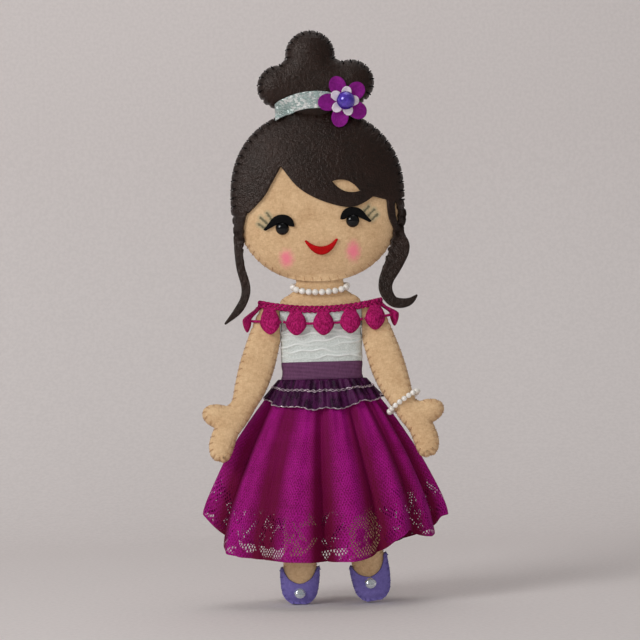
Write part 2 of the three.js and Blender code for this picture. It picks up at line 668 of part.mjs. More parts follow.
// A point of the skirt's outside, from the waist (share 0) to the hem (share 1), or lifted off it
function skirtPoint(line, share, lifted = 0) {
  const angle = rad(SKIRT_LINES[line]);
  const [cos, sin] = [Math.cos(angle), Math.sin(angle)];
  const waist = stationAt(TORSO, SKIRT_TOP);
  const lift = CLEARANCE + LACE;
  const waistX = (waist.width / 2 + lift) * sin;
  const waistY = Math.tanh(6 * cos) * (FELT + lift) + (waist.depth / 2 - FELT) * cos;
  const swing = 1 - (1 - share) ** SKIRT_SWELL;
  const x = THREE.MathUtils.lerp(waistX, (SKIRT_WIDTH / 2) * sin, swing);
  const y = THREE.MathUtils.lerp(waistY, (SKIRT_DEPTH / 2) * cos * Math.abs(cos) ** 0.3, swing);
  const z = SKIRT_TOP - SKIRT_LENGTH * hemShare(SKIRT_LINES[line]) * share;
  const depth = FOLD_DEPTH * share ** 0.7 * (0.85 + 0.3 * Math.sin(4 * angle + 1));
  const out = vec(sin / 1.6, -cos, 0).normalize();
  return vec(x, -y, z).addScaledVector(out, depth * foldAt(line) + lifted);
}

// Cloth lying over the skirt in rows, closed through its thickness
function sheet(shares, thickness, liftAt) {
  const row = (share, deep) =>
    SKIRT_LINES.map((_, line) => skirtPoint(line, share(line), liftAt(line, share(line)) - deep));
  const outside = shares.map((share) => row(share, 0));
  const inside = shares.map((share) => row(share, thickness));
  return solid(loft([...outside, ...inside.reverse()], true));
}

// How far down the skirt the ruffle's lower edge lies: highest at the sides
function ruffleEnd(line) {
  return RUFFLE_SHARE - 0.036 * Math.sin(rad(SKIRT_LINES[line])) ** 2;
}

function skirt() {
  const shares = [() => 0, ruffleEnd, () => 0.36, () => 0.68, () => 1];
  return piece("skirt", sheet(shares, LACE, () => 0), FINISH.skirt);
}

function ruffle() {
  const pleat = (line, share) => (line % 2) * RUFFLE_PLEAT * (share > 0 ? 1 : 0.2);
  const lift = (line, share) => CLEARANCE + RIBBON + pleat(line, share);
  return piece("ruffle", sheet([() => 0, ruffleEnd], RIBBON, lift), FINISH.ruffle);
}

function necklace() {
  const a = NECK_WIDTH / 2 + 3 * CLEARANCE + BEAD_RADIUS;
  const b = NECK_DEPTH / 2 + 4 * CLEARANCE + BEAD_RADIUS;
  const path = (at) => {
    const sin = Math.sin(at);
    const y = Math.sign(sin) * b * Math.abs(sin) ** 0.6;
    const z = SHOULDER_Z + NECK_LENGTH * 0.81 + NECKLACE_SAG * Math.min(sin, sin * 0.2);
    return vec(a * Math.cos(at), y, z);
  };
  return piece("necklace", beads(path, beadCount(a, b)), FINISH.whitePearl);
}

// A teardrop of wound thread, its flat side outward
function pompom(angle, a, b) {
  const long = POMPOM_RADIUS;
  const profile = [
    [0, -long * 1.1], [long * 0.66, -long * 0.68], [long, 0], [long * 0.78, long * 0.62],
    [long * 0.42, long * 1.1], [0, long * 1.2],
  ];
  const geometry = new THREE.LatheGeometry(points2(...profile), 8).rotateX(Math.PI / 2);
  geometry.scale(1, POMPOM_THICKNESS / 2 / long, 1);
  const normal = vec(Math.sin(angle) / a, -Math.cos(angle) / b, 0).normalize();
  geometry.rotateZ(Math.atan2(normal.x, -normal.y));
  const centre = vec(a * Math.sin(angle), -b * Math.cos(angle), SHOULDER_Z - POMPOM_DROP);
  return { centre, body: solid(geometry.translate(centre.x, centre.y, centre.z)) };
}

// The trim's whole loop: a braid with pompoms hung from it, to be cut at the arms' seams
function trimLoop() {
  const a = BRAID_WIDTH / 2;
  const b = stationAt(TORSO, SHOULDER_Z + 1).depth / 2 + CLEARANCE + BRAID_RADIUS;
  const braidAt = (angle) => {
    const z = SHOULDER_Z + BRAID_RISE - BRAID_SAG * Math.cos(angle) ** 2;
    return vec(a * Math.sin(angle), -b * Math.cos(angle), z);
  };
  const rows = [];
  const steps = 32;
  for (let i = 0; i < steps; i++) {
    const angle = (i / steps) * 2 * Math.PI;
    const centre = braidAt(angle);
    const out = vec(Math.sin(angle) / a, -Math.cos(angle) / b, 0).normalize();
    const row = [];
    for (let j = 0; j < 6; j++) {
      const turn = (j / 6) * 2 * Math.PI;
      const point = centre.clone().addScaledVector(out, BRAID_RADIUS * Math.cos(turn));
      row.push(point.setZ(centre.z + BRAID_RADIUS * Math.sin(turn)));
    }
    rows.push(row);
  }
  let loop = solid(loft(rows, true));
  const armEdge = SHOULDER_X + ARM_WIDTH * 0.59;
  const reach = CLEARANCE + POMPOM_THICKNESS / 2;
  const wide = armEdge + reach;
  const deep = CHEST_DEPTH / 2 + CLEARANCE + LACE + reach;
  const side = Math.PI / 2;
  const near = Math.asin(POMPOM_SPACING / wide);
  const far = Math.asin((2 * POMPOM_SPACING) / wide) - 0.03;
  const quarter = [near, far, side];
  const angles = [0, ...quarter, Math.PI - far, Math.PI - near, Math.PI];
  for (const at of [...angles, ...angles.slice(1, -1).map((angle) => -angle)]) {
    const angle = at + rad(POMPOM_TURN);
    const { centre, body } = pompom(angle, wide, deep);
    const from = braidAt(angle);
    const span = centre.clone().sub(from);
    const link = new THREE.CylinderGeometry(1, 1, span.length(), 5);
    link.applyQuaternion(new THREE.Quaternion().setFromUnitVectors(vec(0, 1, 0), span.normalize()));
    const middle = from.add(centre).multiplyScalar(0.5);
    loop = loop.add(body).add(solid(link.translate(middle.x, middle.y, middle.z)));
  }
  return loop;
}

const ARM_SEAM = SHOULDER_WIDTH / 2 + CLEARANCE; // the plane where each arm begins
const TRIM = trimLoop();

function buildTorso() {
  const group = new THREE.Group();
  const beltTop = BELT_Z + BELT_HEIGHT;
  const blouse = skin(torsoForm, LACE);
  const inner = SHOULDER_WIDTH / 2;
  const across = solid(box(vec(-inner, -FAR, -FAR), vec(inner, FAR, FAR)));
  group.add(
    ...stuffed("torso", torsoForm, FINISH.skin),
    piece(
      "blouse",
      blouse.intersect(between(beltTop + CLEARANCE, SHOULDER_Z - BLOUSE_DROP)),
      FINISH.blouse,
    ),
    piece("belt", skin(torsoForm, RIBBON + LACE).intersect(between(BELT_Z, beltTop)), FINISH.belt),
    piece("trim_front", TRIM.intersect(across).intersect(FRONT), FINISH.trim),
    piece("trim_back", TRIM.intersect(across).intersect(BACK), FINISH.trim),
    ruffle(),
    skirt(),
    necklace(),
  );
  return group;
}

// Arms, from the fingers' end up; the hand bends outward and carries a round thumb

// Drawn for an arm 84 long and 18.4 wide
const ARM = [
  { x: 5.8, z: -84, width: 5, depth: 3 },
  { x: 6, z: -81.5, width: 10.4, depth: 6 },
  { x: 6.6, z: -76, width: 13.2, depth: 8 },
  { x: 6.2, z: -68, width: 13.2, depth: 8.8 },
  { x: 3.6, z: -60, width: 13.6, depth: 9.2 },
  { x: 1.2, z: -51, width: 13.4, depth: 9.2 },
  { x: 0.3, z: -42, width: 16.6, depth: 10 },
  { x: 0, z: -30, width: 18.4, depth: 10.4 },
  { x: 0, z: -16, width: 17.2, depth: 9.6 },
  { x: 0, z: -5, width: 15.2, depth: 8 },
  { x: 0, z: 1.4, width: 12, depth: 6.6 },
  { x: 0, z: 4.8, width: 6, depth: 3 },
].map(({ x, z, width, depth }) => {
  const [long, wide] = [ARM_LENGTH / 84, ARM_WIDTH / 18.4];
  return { x: x * wide, z: z * long, width: width * wide, depth: depth * wide };
});

function bracelet(side) {
  const wrist = ARM[5];
  const a = wrist.width / 2 + CLEARANCE + BEAD_RADIUS + 0.4;
  const b = wrist.depth / 2 + CLEARANCE + BEAD_RADIUS;
  const path = (at) => {
    const across = a * Math.cos(at);
    return vec(side * (wrist.x + 0.5 + across), b * Math.sin(at), wrist.z - 1 + across * 0.33);
  };
  return piece("bracelet", beads(path, beadCount(a, b)), FINISH.whitePearl);
}

function buildArm(name, side) {
  const shoulder = new THREE.Group();
  shoulder.position.set(side * SHOULDER_X, 0, SHOULDER_Z);
  const arm = new THREE.Group();
  arm.rotation.set(-rad(ARM_LEAN), -side * rad(ARM_SPREAD), 0);
  shoulder.add(arm);
  shoulder.updateMatrixWorld(true);
  const toArm = arm.matrixWorld.clone().invert();
  const stations = ARM.map((station) => ({ ...station, x: side * station.x }));
  const thumbRadius = (angle) =>
    1 / Math.hypot((2 * Math.cos(angle)) / THUMB_LENGTH, (2 * Math.sin(angle)) / THUMB_WIDTH);
  const form = (grow) => {
    const thumb = cushion(thumbRadius, ARM[4].depth - 1, grow, 12, 3);
    thumb.translate(side * THUMB_REACH, 0, (-THUMB_DROP * ARM_LENGTH) / 84);
    const plane = ARM_SEAM - grow;
    const low = vec(side > 0 ? plane : -FAR, -FAR, -FAR);
    const high = vec(side > 0 ? FAR : -plane, FAR, FAR);
    const outside = solid(box(low, high).applyMatrix4(toArm));
    return solid(limb(stations, grow, 4)).add(solid(thumb)).intersect(outside);
  };
  arm.add(...stuffed(`arm_${name}`, form, FINISH.skin));
  if (side > 0) arm.add(bracelet(side));
  const low = vec(side > 0 ? ARM_SEAM : -FAR, -FAR, -FAR);
  const high = vec(side > 0 ? FAR : -ARM_SEAM, FAR, FAR);
  const sleeve = piece(`trim_${name}`, TRIM.intersect(solid(box(low, high))), FINISH.trim);
  sleeve.position.copy(shoulder.position).negate();
  shoulder.add(sleeve);
  return shoulder;
}

// Legs, from the foot up to the rounded top that turns at the hip, with felt shoes sewn on

const LEG = [
  { z: -LEG_LENGTH, width: LEG_WIDTH / 3, depth: LEG_DEPTH * 0.31 },
  { z: -LEG_LENGTH + 2, width: LEG_WIDTH * 0.667, depth: LEG_DEPTH * 0.635 },
  { z: -LEG_LENGTH + 6.4, width: LEG_WIDTH * 0.922, depth: LEG_DEPTH * 0.904 },
  { z: -LEG_LENGTH + 13.4, width: LEG_WIDTH, depth: LEG_DEPTH },
  { z: -LEG_LENGTH + 25, width: LEG_WIDTH * 0.978, depth: LEG_DEPTH * 1.04 },
  { z: -LEG_LENGTH * 0.5, width: LEG_WIDTH * 0.956, depth: LEG_DEPTH * 1.096 },
  { z: -LEG_LENGTH * 0.22, width: LEG_WIDTH * 1.044, depth: LEG_DEPTH * 1.115 },
  { z: -LEG_TOP * 0.545, width: LEG_WIDTH * 1.044, depth: 2 * LEG_TOP * 0.93 },
  { z: LEG_TOP * 0.5, width: LEG_WIDTH * 0.778, depth: 2 * LEG_TOP * 0.86 },
  { z: LEG_TOP, width: LEG_WIDTH / 6, depth: 2 * LEG_TOP * 0.24 },
];
const legForm = (grow) => solid(limb(LEG, grow, 4));

// A shoe's outline: closed below, its neckline a deep curve between two tips
function shoeShape(name, side) {
  const sole = -LEG_LENGTH - FELT - CLEARANCE;
  const low = sole + SHOES[name].low;
  const half = LEG_WIDTH / 2 + FELT;
  const [left, right] = side < 0 ? ["outer", "inner"] : ["inner", "outer"];
  const [tipLeft, tipRight] = [sole + SHOES[name][left], sole + SHOES[name][right]];
  const at = (x, tip, share) => [x * half, low + (tip - low) * share];
  const shape = new THREE.Shape();
  shape.moveTo(-2 * half, tipLeft);
  shape.lineTo(-half, tipLeft);
  shape.splineThru(points2(
    at(-0.76, tipLeft, 0.69), at(-0.56, tipLeft, 0.34), at(0, low, 0),
    at(0.56, tipRight, 0.34), at(0.76, tipRight, 0.69), at(1, tipRight, 1),
  ));
  shape.lineTo(2 * half, tipRight);
  shape.lineTo(2 * half, sole - 5);
  shape.lineTo(-2 * half, sole - 5);
  return shape;
}

function buildLeg(name, side) {
  const group = new THREE.Group();
  group.position.set(side * HIP_X, 0, HIP_Z);
  group.rotation.y = -side * rad(LEG_SPREAD[name]);
  const shoe = skin(legForm, FELT).intersect(prism(shoeShape(name, side)));
  const gem = [
    [0, 0], [STONE_RADIUS, 0.01], [STONE_RADIUS, 0.5], [STONE_RADIUS * 0.62, 2], [0, 2.2],
  ];
  const front = (x, z) => limbFront(LEG, HAIR_LIFT, x, z);
  const stone = piece(`stone_${name}`, turned(gem, 10), FINISH.stone);
  group.add(
    ...stuffed(`leg_${name}`, legForm, FINISH.skin),
    piece(`shoe_${name}_front`, shoe.intersect(FRONT), FINISH.shoe),
    piece(`shoe_${name}_back`, shoe.intersect(BACK), FINISH.shoe),
    seat(stone, front, SHOES[name].stone[0], SHOES[name].stone[1] - HIP_Z),
  );
  return group;
}

const doll = new THREE.Group();
doll.name = "felt_doll";
doll.add(
  buildTorso(),
  buildHead(),
  buildArm("left", -1),
  buildArm("right", 1),
  buildLeg("left", -1),
  buildLeg("right", 1),
);

export default doll;
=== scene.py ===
"""Felt doll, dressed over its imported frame.

Stuffed felt panels with whip-stitched seams, layered felt hair and face, a gathered lace skirt,
ribbons, a plaited trim with wound drops, and strung pearls.

Sizes are in millimetres and become metres when a piece is finished. +Z is up and the face looks
along -Y. Left and right are the viewer's.
"""

import logging
import math
from collections.abc import Callable, Iterable, Sequence
from dataclasses import dataclass, field
from enum import Enum
from functools import cache, partial

import bmesh
import bpy
import numpy as np
from mathutils import Euler, Matrix, Vector, noise

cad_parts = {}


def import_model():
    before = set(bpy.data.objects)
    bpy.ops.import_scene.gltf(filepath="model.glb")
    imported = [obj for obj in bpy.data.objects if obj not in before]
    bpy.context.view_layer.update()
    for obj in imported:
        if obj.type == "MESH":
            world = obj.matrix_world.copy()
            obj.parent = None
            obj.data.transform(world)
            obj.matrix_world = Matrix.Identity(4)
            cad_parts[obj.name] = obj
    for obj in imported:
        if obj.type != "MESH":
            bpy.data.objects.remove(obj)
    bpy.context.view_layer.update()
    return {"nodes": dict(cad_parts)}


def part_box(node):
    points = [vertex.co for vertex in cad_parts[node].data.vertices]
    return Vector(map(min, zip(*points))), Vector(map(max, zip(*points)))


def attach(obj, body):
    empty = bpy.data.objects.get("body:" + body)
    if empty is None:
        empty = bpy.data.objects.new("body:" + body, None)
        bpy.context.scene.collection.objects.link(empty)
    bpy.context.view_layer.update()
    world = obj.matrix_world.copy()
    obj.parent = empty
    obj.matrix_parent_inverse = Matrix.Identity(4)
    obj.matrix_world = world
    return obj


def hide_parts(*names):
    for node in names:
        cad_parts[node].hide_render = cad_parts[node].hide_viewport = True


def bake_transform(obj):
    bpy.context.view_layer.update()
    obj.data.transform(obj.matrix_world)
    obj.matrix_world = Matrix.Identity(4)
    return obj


LOG = logging.getLogger("felt_doll")

MM = 0.001
FELT = 1.3  # thickness of a felt panel
SEAM_GAP = 0.08  # half of the groove where two panels meet
THREAD_HALF = 0.6  # half of a stitch's run over the edge
STITCH_SLANT = 0.7  # how far a stitch leans along the seam on each panel
SKIN_GAUGE, HAIR_GAUGE, SHOE_GAUGE = 0.17, 0.3, 0.13  # radii of the sewing threads
POLE_EDGES = 8  # more edges than this meet only at a ball's pole
UPRIGHT = Matrix.Rotation(math.pi / 2, 4, "X")  # turns what faces up towards the viewer

Mesh = bmesh.types.BMesh
Socket = bpy.types.NodeSocket
Pattern = tuple[Socket, Socket | None]
Spot = tuple[float, float]
Triple = tuple[float, float, float]
Colour = Triple
Bow = tuple[Spot, Spot, int]
Height = Callable[[np.ndarray], np.ndarray]


class Named(Enum):
    """A choice whose name stands in the names of pieces."""

    @property
    def word(self) -> str:
        """The choice as it stands in names."""
        return self.name.lower()


class Face(Named):
    """Which panel of a stuffed part; the value is the sign of its Y."""

    FRONT = -1
    BACK = 1


class Side(Named):
    """The viewer's side; the value is the sign of its X."""

    LEFT = -1
    RIGHT = 1


# Lines and outlines


def through(points: Sequence[Sequence[float]], per: int = 6) -> np.ndarray:
    """A smooth line through points.

    Args:
        points: The points to pass, in two or three numbers each.
        per: Steps from one point to the next.

    Returns:
        The line's points.
    """
    stops = np.array(points, float)
    stops = np.vstack([2 * stops[0] - stops[1], stops, 2 * stops[-1] - stops[-2]])
    line = []
    for before, start, end, after in zip(stops, stops[1:], stops[2:], stops[3:]):
        for t in np.linspace(0, 1, per, endpoint=False):
            line.append(
                start
                + 0.5 * t * (end - before)
                + t * t * (before - 2.5 * start + 2 * end - 0.5 * after)
                + t**3 * (1.5 * (start - end) + 0.5 * (after - before))
            )
    line.append(stops[-2])
    return np.array(line)


def bow(start: Spot, control: Spot, end: Spot, steps: int) -> list[Spot]:
    """A simple curve from start towards control to end, without its last point.

    Args:
        start: Where it begins.
        control: What it bends towards.
        end: Where it ends.
        steps: Number of points.

    Returns:
        The curve's points.
    """
    corners = (start, control, end)
    made = []
    for t in np.linspace(0, 1, steps, endpoint=False):
        weights = ((1 - t) ** 2, 2 * t * (1 - t), t * t)
        made.append(tuple(sum(w * p[k] for w, p in zip(weights, corners)) for k in (0, 1)))
    return made


def bows(turns: Sequence[Bow]) -> list[Spot]:
    """A closed line of bows.

    Args:
        turns: Start, control and number of points of each bow; it ends where the next one starts.

    Returns:
        The line's points.
    """
    line = []
    for (start, control, steps), (end, _, _) in zip(turns, [*turns[1:], turns[0]]):
        line += bow(start, control, end, steps)
    return line


def enclosed(loop: np.ndarray) -> float:
    """The area inside a loop of points, negative where it runs clockwise."""
    turned = np.roll(loop, -1, axis=0)
    return float((loop[:, 0] * turned[:, 1] - loop[:, 1] * turned[:, 0]).sum()) / 2


class Outline:
    """A closed outline in the X-Z plane in even steps, running anticlockwise for the viewer."""

    def __init__(self, corners: Iterable[Spot], step: float) -> None:
        """Resamples the corners.

        Args:
            corners: The outline's corners in order.
            step: Distance from point to point.
        """
        loop = np.array(list(corners), float)
        if enclosed(loop) < 0:
            loop = loop[::-1]
        ring = np.vstack([loop, loop[:1]])
        along = np.concatenate([[0], np.cumsum(np.linalg.norm(np.diff(ring, axis=0), axis=1))])
        self.length = float(along[-1])
        count = max(8, round(self.length / step))
        self.step = self.length / count
        at = np.arange(count) * self.step
        self.points = np.stack([np.interp(at, along, ring[:, k]) for k in (0, 1)], axis=1)

    @property
    def area(self) -> float:
        """The area inside, in square metres."""
        return enclosed(self.points) * MM**2

    def place(self, way: float) -> tuple[np.ndarray, np.ndarray]:
        """A point of the outline and its outward direction.

        Args:
            way: Distance along the outline.

        Returns:
            The point and the direction.
        """
        count = len(self.points)
        at = (way / self.step) % count
        low = int(at)
        share = at - low
        here = (1 - share) * self.points[low % count] + share * self.points[(low + 1) % count]
        return here, self.outward(np.array([way]))[0]

    def outward(self, ways: np.ndarray) -> np.ndarray:
        """Outward directions at ways along the outline, as rows of x and z."""
        low = (ways / self.step).astype(int)
        count = len(self.points)
        ahead = self.points[(low + 2) % count] - self.points[(low - 1) % count]
        ahead /= np.maximum(np.linalg.norm(ahead, axis=1), 1e-9)[:, None]
        return np.stack([ahead[:, 1], -ahead[:, 0]], axis=1)

    def nearest(self, spots: np.ndarray) -> tuple[np.ndarray, np.ndarray]:
        """How far spots are from the outline, and where along it their nearest point is.

        Args:
            spots: Rows of x and z.

        Returns:
            Distances and ways along.
        """
        starts = self.points
        spans = np.roll(starts, -1, axis=0) - starts
        gaps = spots[:, None, :] - starts[None]
        share = np.clip((gaps * spans).sum(2) / (spans * spans).sum(1), 0, 1)
        apart = np.linalg.norm(gaps - share[..., None] * spans, axis=2)
        best = apart.argmin(axis=1)
        rows = np.arange(len(spots))
        return apart[rows, best], (best + share[rows, best]) * self.step


def spots_of(bm: Mesh) -> np.ndarray:
    """The x and z of every vertex, as rows."""
    return np.array([(v.co.x, v.co.z) for v in bm.verts])


# Shader nodes


class Nodes:
    """Adds nodes to a tree in short calls."""

    def __init__(self, tree: bpy.types.NodeTree) -> None:
        """Keeps the tree."""
        self.tree = tree

    def add(self, kind: str, **settings: object) -> bpy.types.Node:
        """A new node with some of its properties set.

        Args:
            kind: The node's type.
            settings: Properties by name.

        Returns:
            The node.
        """
        node = self.tree.nodes.new(kind)
        for name, value in settings.items():
            setattr(node, name, value)
        return node

    def feed(self, socket: Socket, value: object) -> None:
        """Links an output to a socket, or sets the socket's own value."""
        if isinstance(value, Socket):
            self.tree.links.new(value, socket)
        else:
            socket.default_value = value

    def math(self, operation: str, *values: object, clamp: bool = False) -> Socket:
        """The result of a Math node.

        Args:
            operation: The node's operation.
            values: Outputs or numbers for its inputs.
            clamp: Whether the result is kept from 0 to 1.

        Returns:
            The output socket.
        """
        node = self.add("ShaderNodeMath", operation=operation, use_clamp=clamp)
        for socket, value in zip(node.inputs, values):
            self.feed(socket, value)
        return node.outputs[0]

    def vector(self, operation: str, *values: object, out: str = "Vector") -> Socket:
        """The result of a Vector Math node.

        Args:
            operation: The node's operation.
            values: Outputs or triples for its inputs.
            out: Name of the output.

        Returns:
            The output socket.
        """
        node = self.add("ShaderNodeVectorMath", operation=operation)
        for socket, value in zip(node.inputs, values):
            self.feed(socket, value)
        return node.outputs[out]

    def mix(self, share: object, first: object, second: object) -> Socket:
        """A colour between two others.

        Args:
            share: Part of the second colour.
            first: The colour at 0.
            second: The colour at 1.

        Returns:
            The mixed colour.
        """
        node = self.add("ShaderNodeMix", data_type="RGBA")
        self.feed(node.inputs["Factor"], share)
        for socket, value in ((node.inputs[6], first), (node.inputs[7], second)):
            self.feed(socket, (*value, 1.0) if isinstance(value, tuple) else value)
        return node.outputs[2]

    def span(self, value: object, low: float, high: float, soft: bool = True) -> Socket:
        """A value taken from low..high to 0..1.

        Args:
            value: The output to map.
            low: What becomes 0.
            high: What becomes 1.
            soft: Whether it eases in and out.

        Returns:
            The mapped value.
        """
        kind = "SMOOTHSTEP" if soft else "LINEAR"
        node = self.add("ShaderNodeMapRange", interpolation_type=kind, clamp=True)
        for name, number in (("Value", value), ("From Min", low), ("From Max", high)):
            self.feed(node.inputs[name], number)
        return node.outputs[0]

    def place(self) -> Socket:
        """Object coordinates, in metres."""
        return self.add("ShaderNodeTexCoord").outputs["Object"]

    def split(self, value: Socket) -> list[Socket]:
        """The three parts of a vector."""
        node = self.add("ShaderNodeSeparateXYZ")
        self.feed(node.inputs[0], value)
        return list(node.outputs)

    def join(self, *values: object) -> Socket:
        """A vector from its parts."""
        node = self.add("ShaderNodeCombineXYZ")
        for socket, value in zip(node.inputs, values):
            self.feed(socket, value)
        return node.outputs[0]

    def grain(self, where: object, size: float, detail: float = 2.0) -> Socket:
        """Noise whose lumps have a size.

        Args:
            where: Coordinates in metres.
            size: Size of a lump in millimetres.
            detail: Finer layers on it.

        Returns:
            A value round 0.5.
        """
        node = self.add("ShaderNodeTexNoise")
        self.feed(node.inputs["Vector"], where)
        self.feed(node.inputs["Scale"], 1 / (size * MM))
        self.feed(node.inputs["Detail"], detail)
        return node.outputs["Fac"]

    def weigh(self, *parts: tuple[Socket, float]) -> Socket:
        """The sum of values, each times its weight."""
        total, *rest = [self.math("MULTIPLY", value, weight) for value, weight in parts]
        for value in rest:
            total = self.math("ADD", total, value)
        return total

    def sockets(self, way: str, **kinds: str) -> None:
        """Gives a node group its sockets of one way, by name and kind."""
        for name, kind in kinds.items():
            self.tree.interface.new_socket(name, in_out=way, socket_type=f"NodeSocket{kind}")


@cache
def felt_group() -> bpy.types.NodeTree:
    """The matted fibres of felt: cloudy shade, fine flecks and a height, made once."""
    n = Nodes(bpy.data.node_groups.new("felt_fibres", "ShaderNodeTree"))
    n.sockets("INPUT", Dark="Color", Light="Color")
    n.sockets("OUTPUT", Colour="Color", Height="Float")
    inputs, outputs = n.add("NodeGroupInput"), n.add("NodeGroupOutput")
    where = n.place()
    clouds = n.grain(where, 14, 2)
    tufts = n.grain(where, 2.2, 3)
    flecks = n.grain(n.vector("MULTIPLY", where, (1.0, 1.0, 0.35)), 0.5, 2)
    strands = n.grain(n.vector("MULTIPLY", where, (0.3, 1.0, 1.0)), 0.55, 2)
    fibres = n.weigh((flecks, 0.5), (strands, 0.5))
    share = n.span(n.weigh((clouds, 0.35), (tufts, 0.3), (fibres, 0.55)), 0.42, 0.78, soft=False)
    n.feed(outputs.inputs["Colour"], n.mix(share, inputs.outputs["Dark"], inputs.outputs["Light"]))
    n.feed(outputs.inputs["Height"], n.weigh((tufts, 0.6), (fibres, 0.7)))
    return n.tree


@cache
def yarn_group() -> bpy.types.NodeTree:
    """The twist and hairiness of spun thread: a shade and a height, made once."""
    n = Nodes(bpy.data.node_groups.new("spun_thread", "ShaderNodeTree"))
    n.sockets("OUTPUT", Shade="Float", Height="Float")
    outputs = n.add("NodeGroupOutput")
    where = n.place()
    strands = n.grain(n.vector("MULTIPLY", where, (1.0, 1.0, 0.25)), 0.45, 2)
    lumps = n.grain(where, 1.6, 2)
    n.feed(outputs.inputs["Shade"], n.weigh((strands, 0.65), (lumps, 0.35)))
    n.feed(outputs.inputs["Height"], strands)
    return n.tree


def linear(red: int, green: int, blue: int) -> Colour:
    """A colour as it is seen, from 0 to 255, as the renderer's linear one."""
    parts = (c / 255 for c in (red, green, blue))
    return tuple(c / 12.92 if c <= 0.04045 else ((c + 0.055) / 1.055) ** 2.4 for c in parts)


@dataclass(frozen=True)
class Finish:
    """A surface: two colours that its pattern goes between, and its gloss.

    Attributes:
        name: The material's name.
        dark: Colour in the pattern's low parts.
        light: Colour in its high parts.
        roughness: The shader's roughness.
        bump: Depth of the pattern in millimetres.
        sheen: Weight of the soft rim of light on fibres.
        settings: Other sockets of the shader by name.
    """

    name: str
    dark: Colour
    light: Colour
    roughness: float = 0.9
    bump: float = 0.25
    sheen: float = 0.0
    settings: tuple[tuple[str, object], ...] = ()

    def material(self) -> bpy.types.Material:
        """The Blender material, made when it is first asked for."""
        made = bpy.data.materials.get(f"doll_{self.name}")
        if made:
            return made
        made = bpy.data.materials.new(f"doll_{self.name}")
        made.use_nodes = True
        shader = made.node_tree.nodes["Principled BSDF"]
        n = Nodes(made.node_tree)
        n.feed(shader.inputs["Roughness"], self.roughness)
        n.feed(shader.inputs["Sheen Weight"], self.sheen)
        if self.sheen:
            n.feed(shader.inputs["Sheen Roughness"], 0.5)
            n.feed(shader.inputs["Sheen Tint"], (*self.light, 1.0))
        for name, value in self.settings:
            n.feed(shader.inputs[name], value)
        colour, height = self.pattern(n, shader)
        n.feed(shader.inputs["Base Color"], colour)
        if height is not None:
            bump = n.add("ShaderNodeBump")
            n.feed(bump.inputs["Strength"], 1.0)
            n.feed(bump.inputs["Distance"], self.bump * MM)
            n.feed(bump.inputs["Height"], height)
            n.feed(shader.inputs["Normal"], bump.outputs[0])
        return made

    def pattern(self, n: Nodes, shader: bpy.types.Node) -> Pattern:
        """A smooth surface that hardly varies.

        Args:
            n: The material's nodes.
            shader: Its shader.

        Returns:
            The colour, and the height or None.
        """
        share = n.span(n.grain(n.place(), 2.5, 3), 0.3, 0.7)
        return n.mix(share, self.dark, self.light), None


@dataclass(frozen=True)
class Felt(Finish):
    """Matted wool or craft felt."""

    def pattern(self, n: Nodes, shader: bpy.types.Node) -> Pattern:
        """Colour and height of the fibres."""
        fibres = n.add("ShaderNodeGroup", node_tree=felt_group())
        n.feed(fibres.inputs["Dark"], (*self.dark, 1.0))
        n.feed(fibres.inputs["Light"], (*self.light, 1.0))
        return fibres.outputs["Colour"], fibres.outputs["Height"]


@dataclass(frozen=True)
class FaceFelt(Felt):
    """Skin felt with rouged cheeks and drawn lashes.

    Attributes:
        cheeks: Middle of each cheek and its half axes, x and z in millimetres.
        lashes: Root and tip of each lash.
    """

    cheeks: tuple[tuple[float, float, float, float], ...] = ()
    lashes: tuple[tuple[Spot, Spot], ...] = ()

    def pattern(self, n: Nodes, shader: bpy.types.Node) -> Pattern:
        """The felt's colour with rouge and lashes over it."""
        colour, height = super().pattern(n, shader)
        x, _, z = n.split(n.place())
        flat = n.join(x, 0.0, z)
        ragged = n.grain(n.place(), 1.5, 3)
        for across, up, wide, tall in self.cheeks:
            offset = n.vector("SUBTRACT", flat, (across * MM, 0.0, up * MM))
            oval = n.vector("MULTIPLY", offset, (1 / wide / MM, 0.0, 1 / tall / MM))
            reach = n.math("MULTIPLY_ADD", ragged, 0.7, n.vector("LENGTH", oval, out="Value"))
            mask = n.math("MULTIPLY", n.span(reach, 1.6, 0.5), 0.85)
            colour = n.mix(mask, colour, ROUGE)
        for root, tip in self.lashes:
            along = (tip[0] - root[0], tip[1] - root[1])
            square = along[0] ** 2 + along[1] ** 2
            offset = n.vector("SUBTRACT", flat, (root[0] * MM, 0.0, root[1] * MM))
            way = (along[0] / square / MM, 0.0, along[1] / square / MM)
            share = n.math("ADD", n.vector("DOT_PRODUCT", offset, way, out="Value"), 0.0, clamp=True)
            foot = n.vector("SCALE", (along[0] * MM, 0.0, along[1] * MM))
            n.feed(foot.node.inputs["Scale"], share)
            reach = n.vector("LENGTH", n.vector("SUBTRACT", offset, foot), out="Value")
            edge = n.math("MULTIPLY_ADD", n.grain(n.place(), 0.9, 2), 0.0016, reach)
            wash = n.math("MULTIPLY", n.span(edge, 0.0034, 0.0014), 0.55)
            colour = n.mix(wash, colour, LASH_WASH)
            mask = n.math("MULTIPLY", n.span(edge, 0.0019, 0.0009), 0.8)
            colour = n.mix(mask, colour, LASH_INK)
        return colour, height


@dataclass(frozen=True)
class Yarn(Finish):
    """Spun or wound thread."""

    def pattern(self, n: Nodes, shader: bpy.types.Node) -> Pattern:
        """Colour and height of the twisted strands."""
        twist = n.add("ShaderNodeGroup", node_tree=yarn_group())
        share = n.span(twist.outputs["Shade"], 0.38, 0.64)
        return n.mix(share, self.dark, self.light), twist.outputs["Height"]


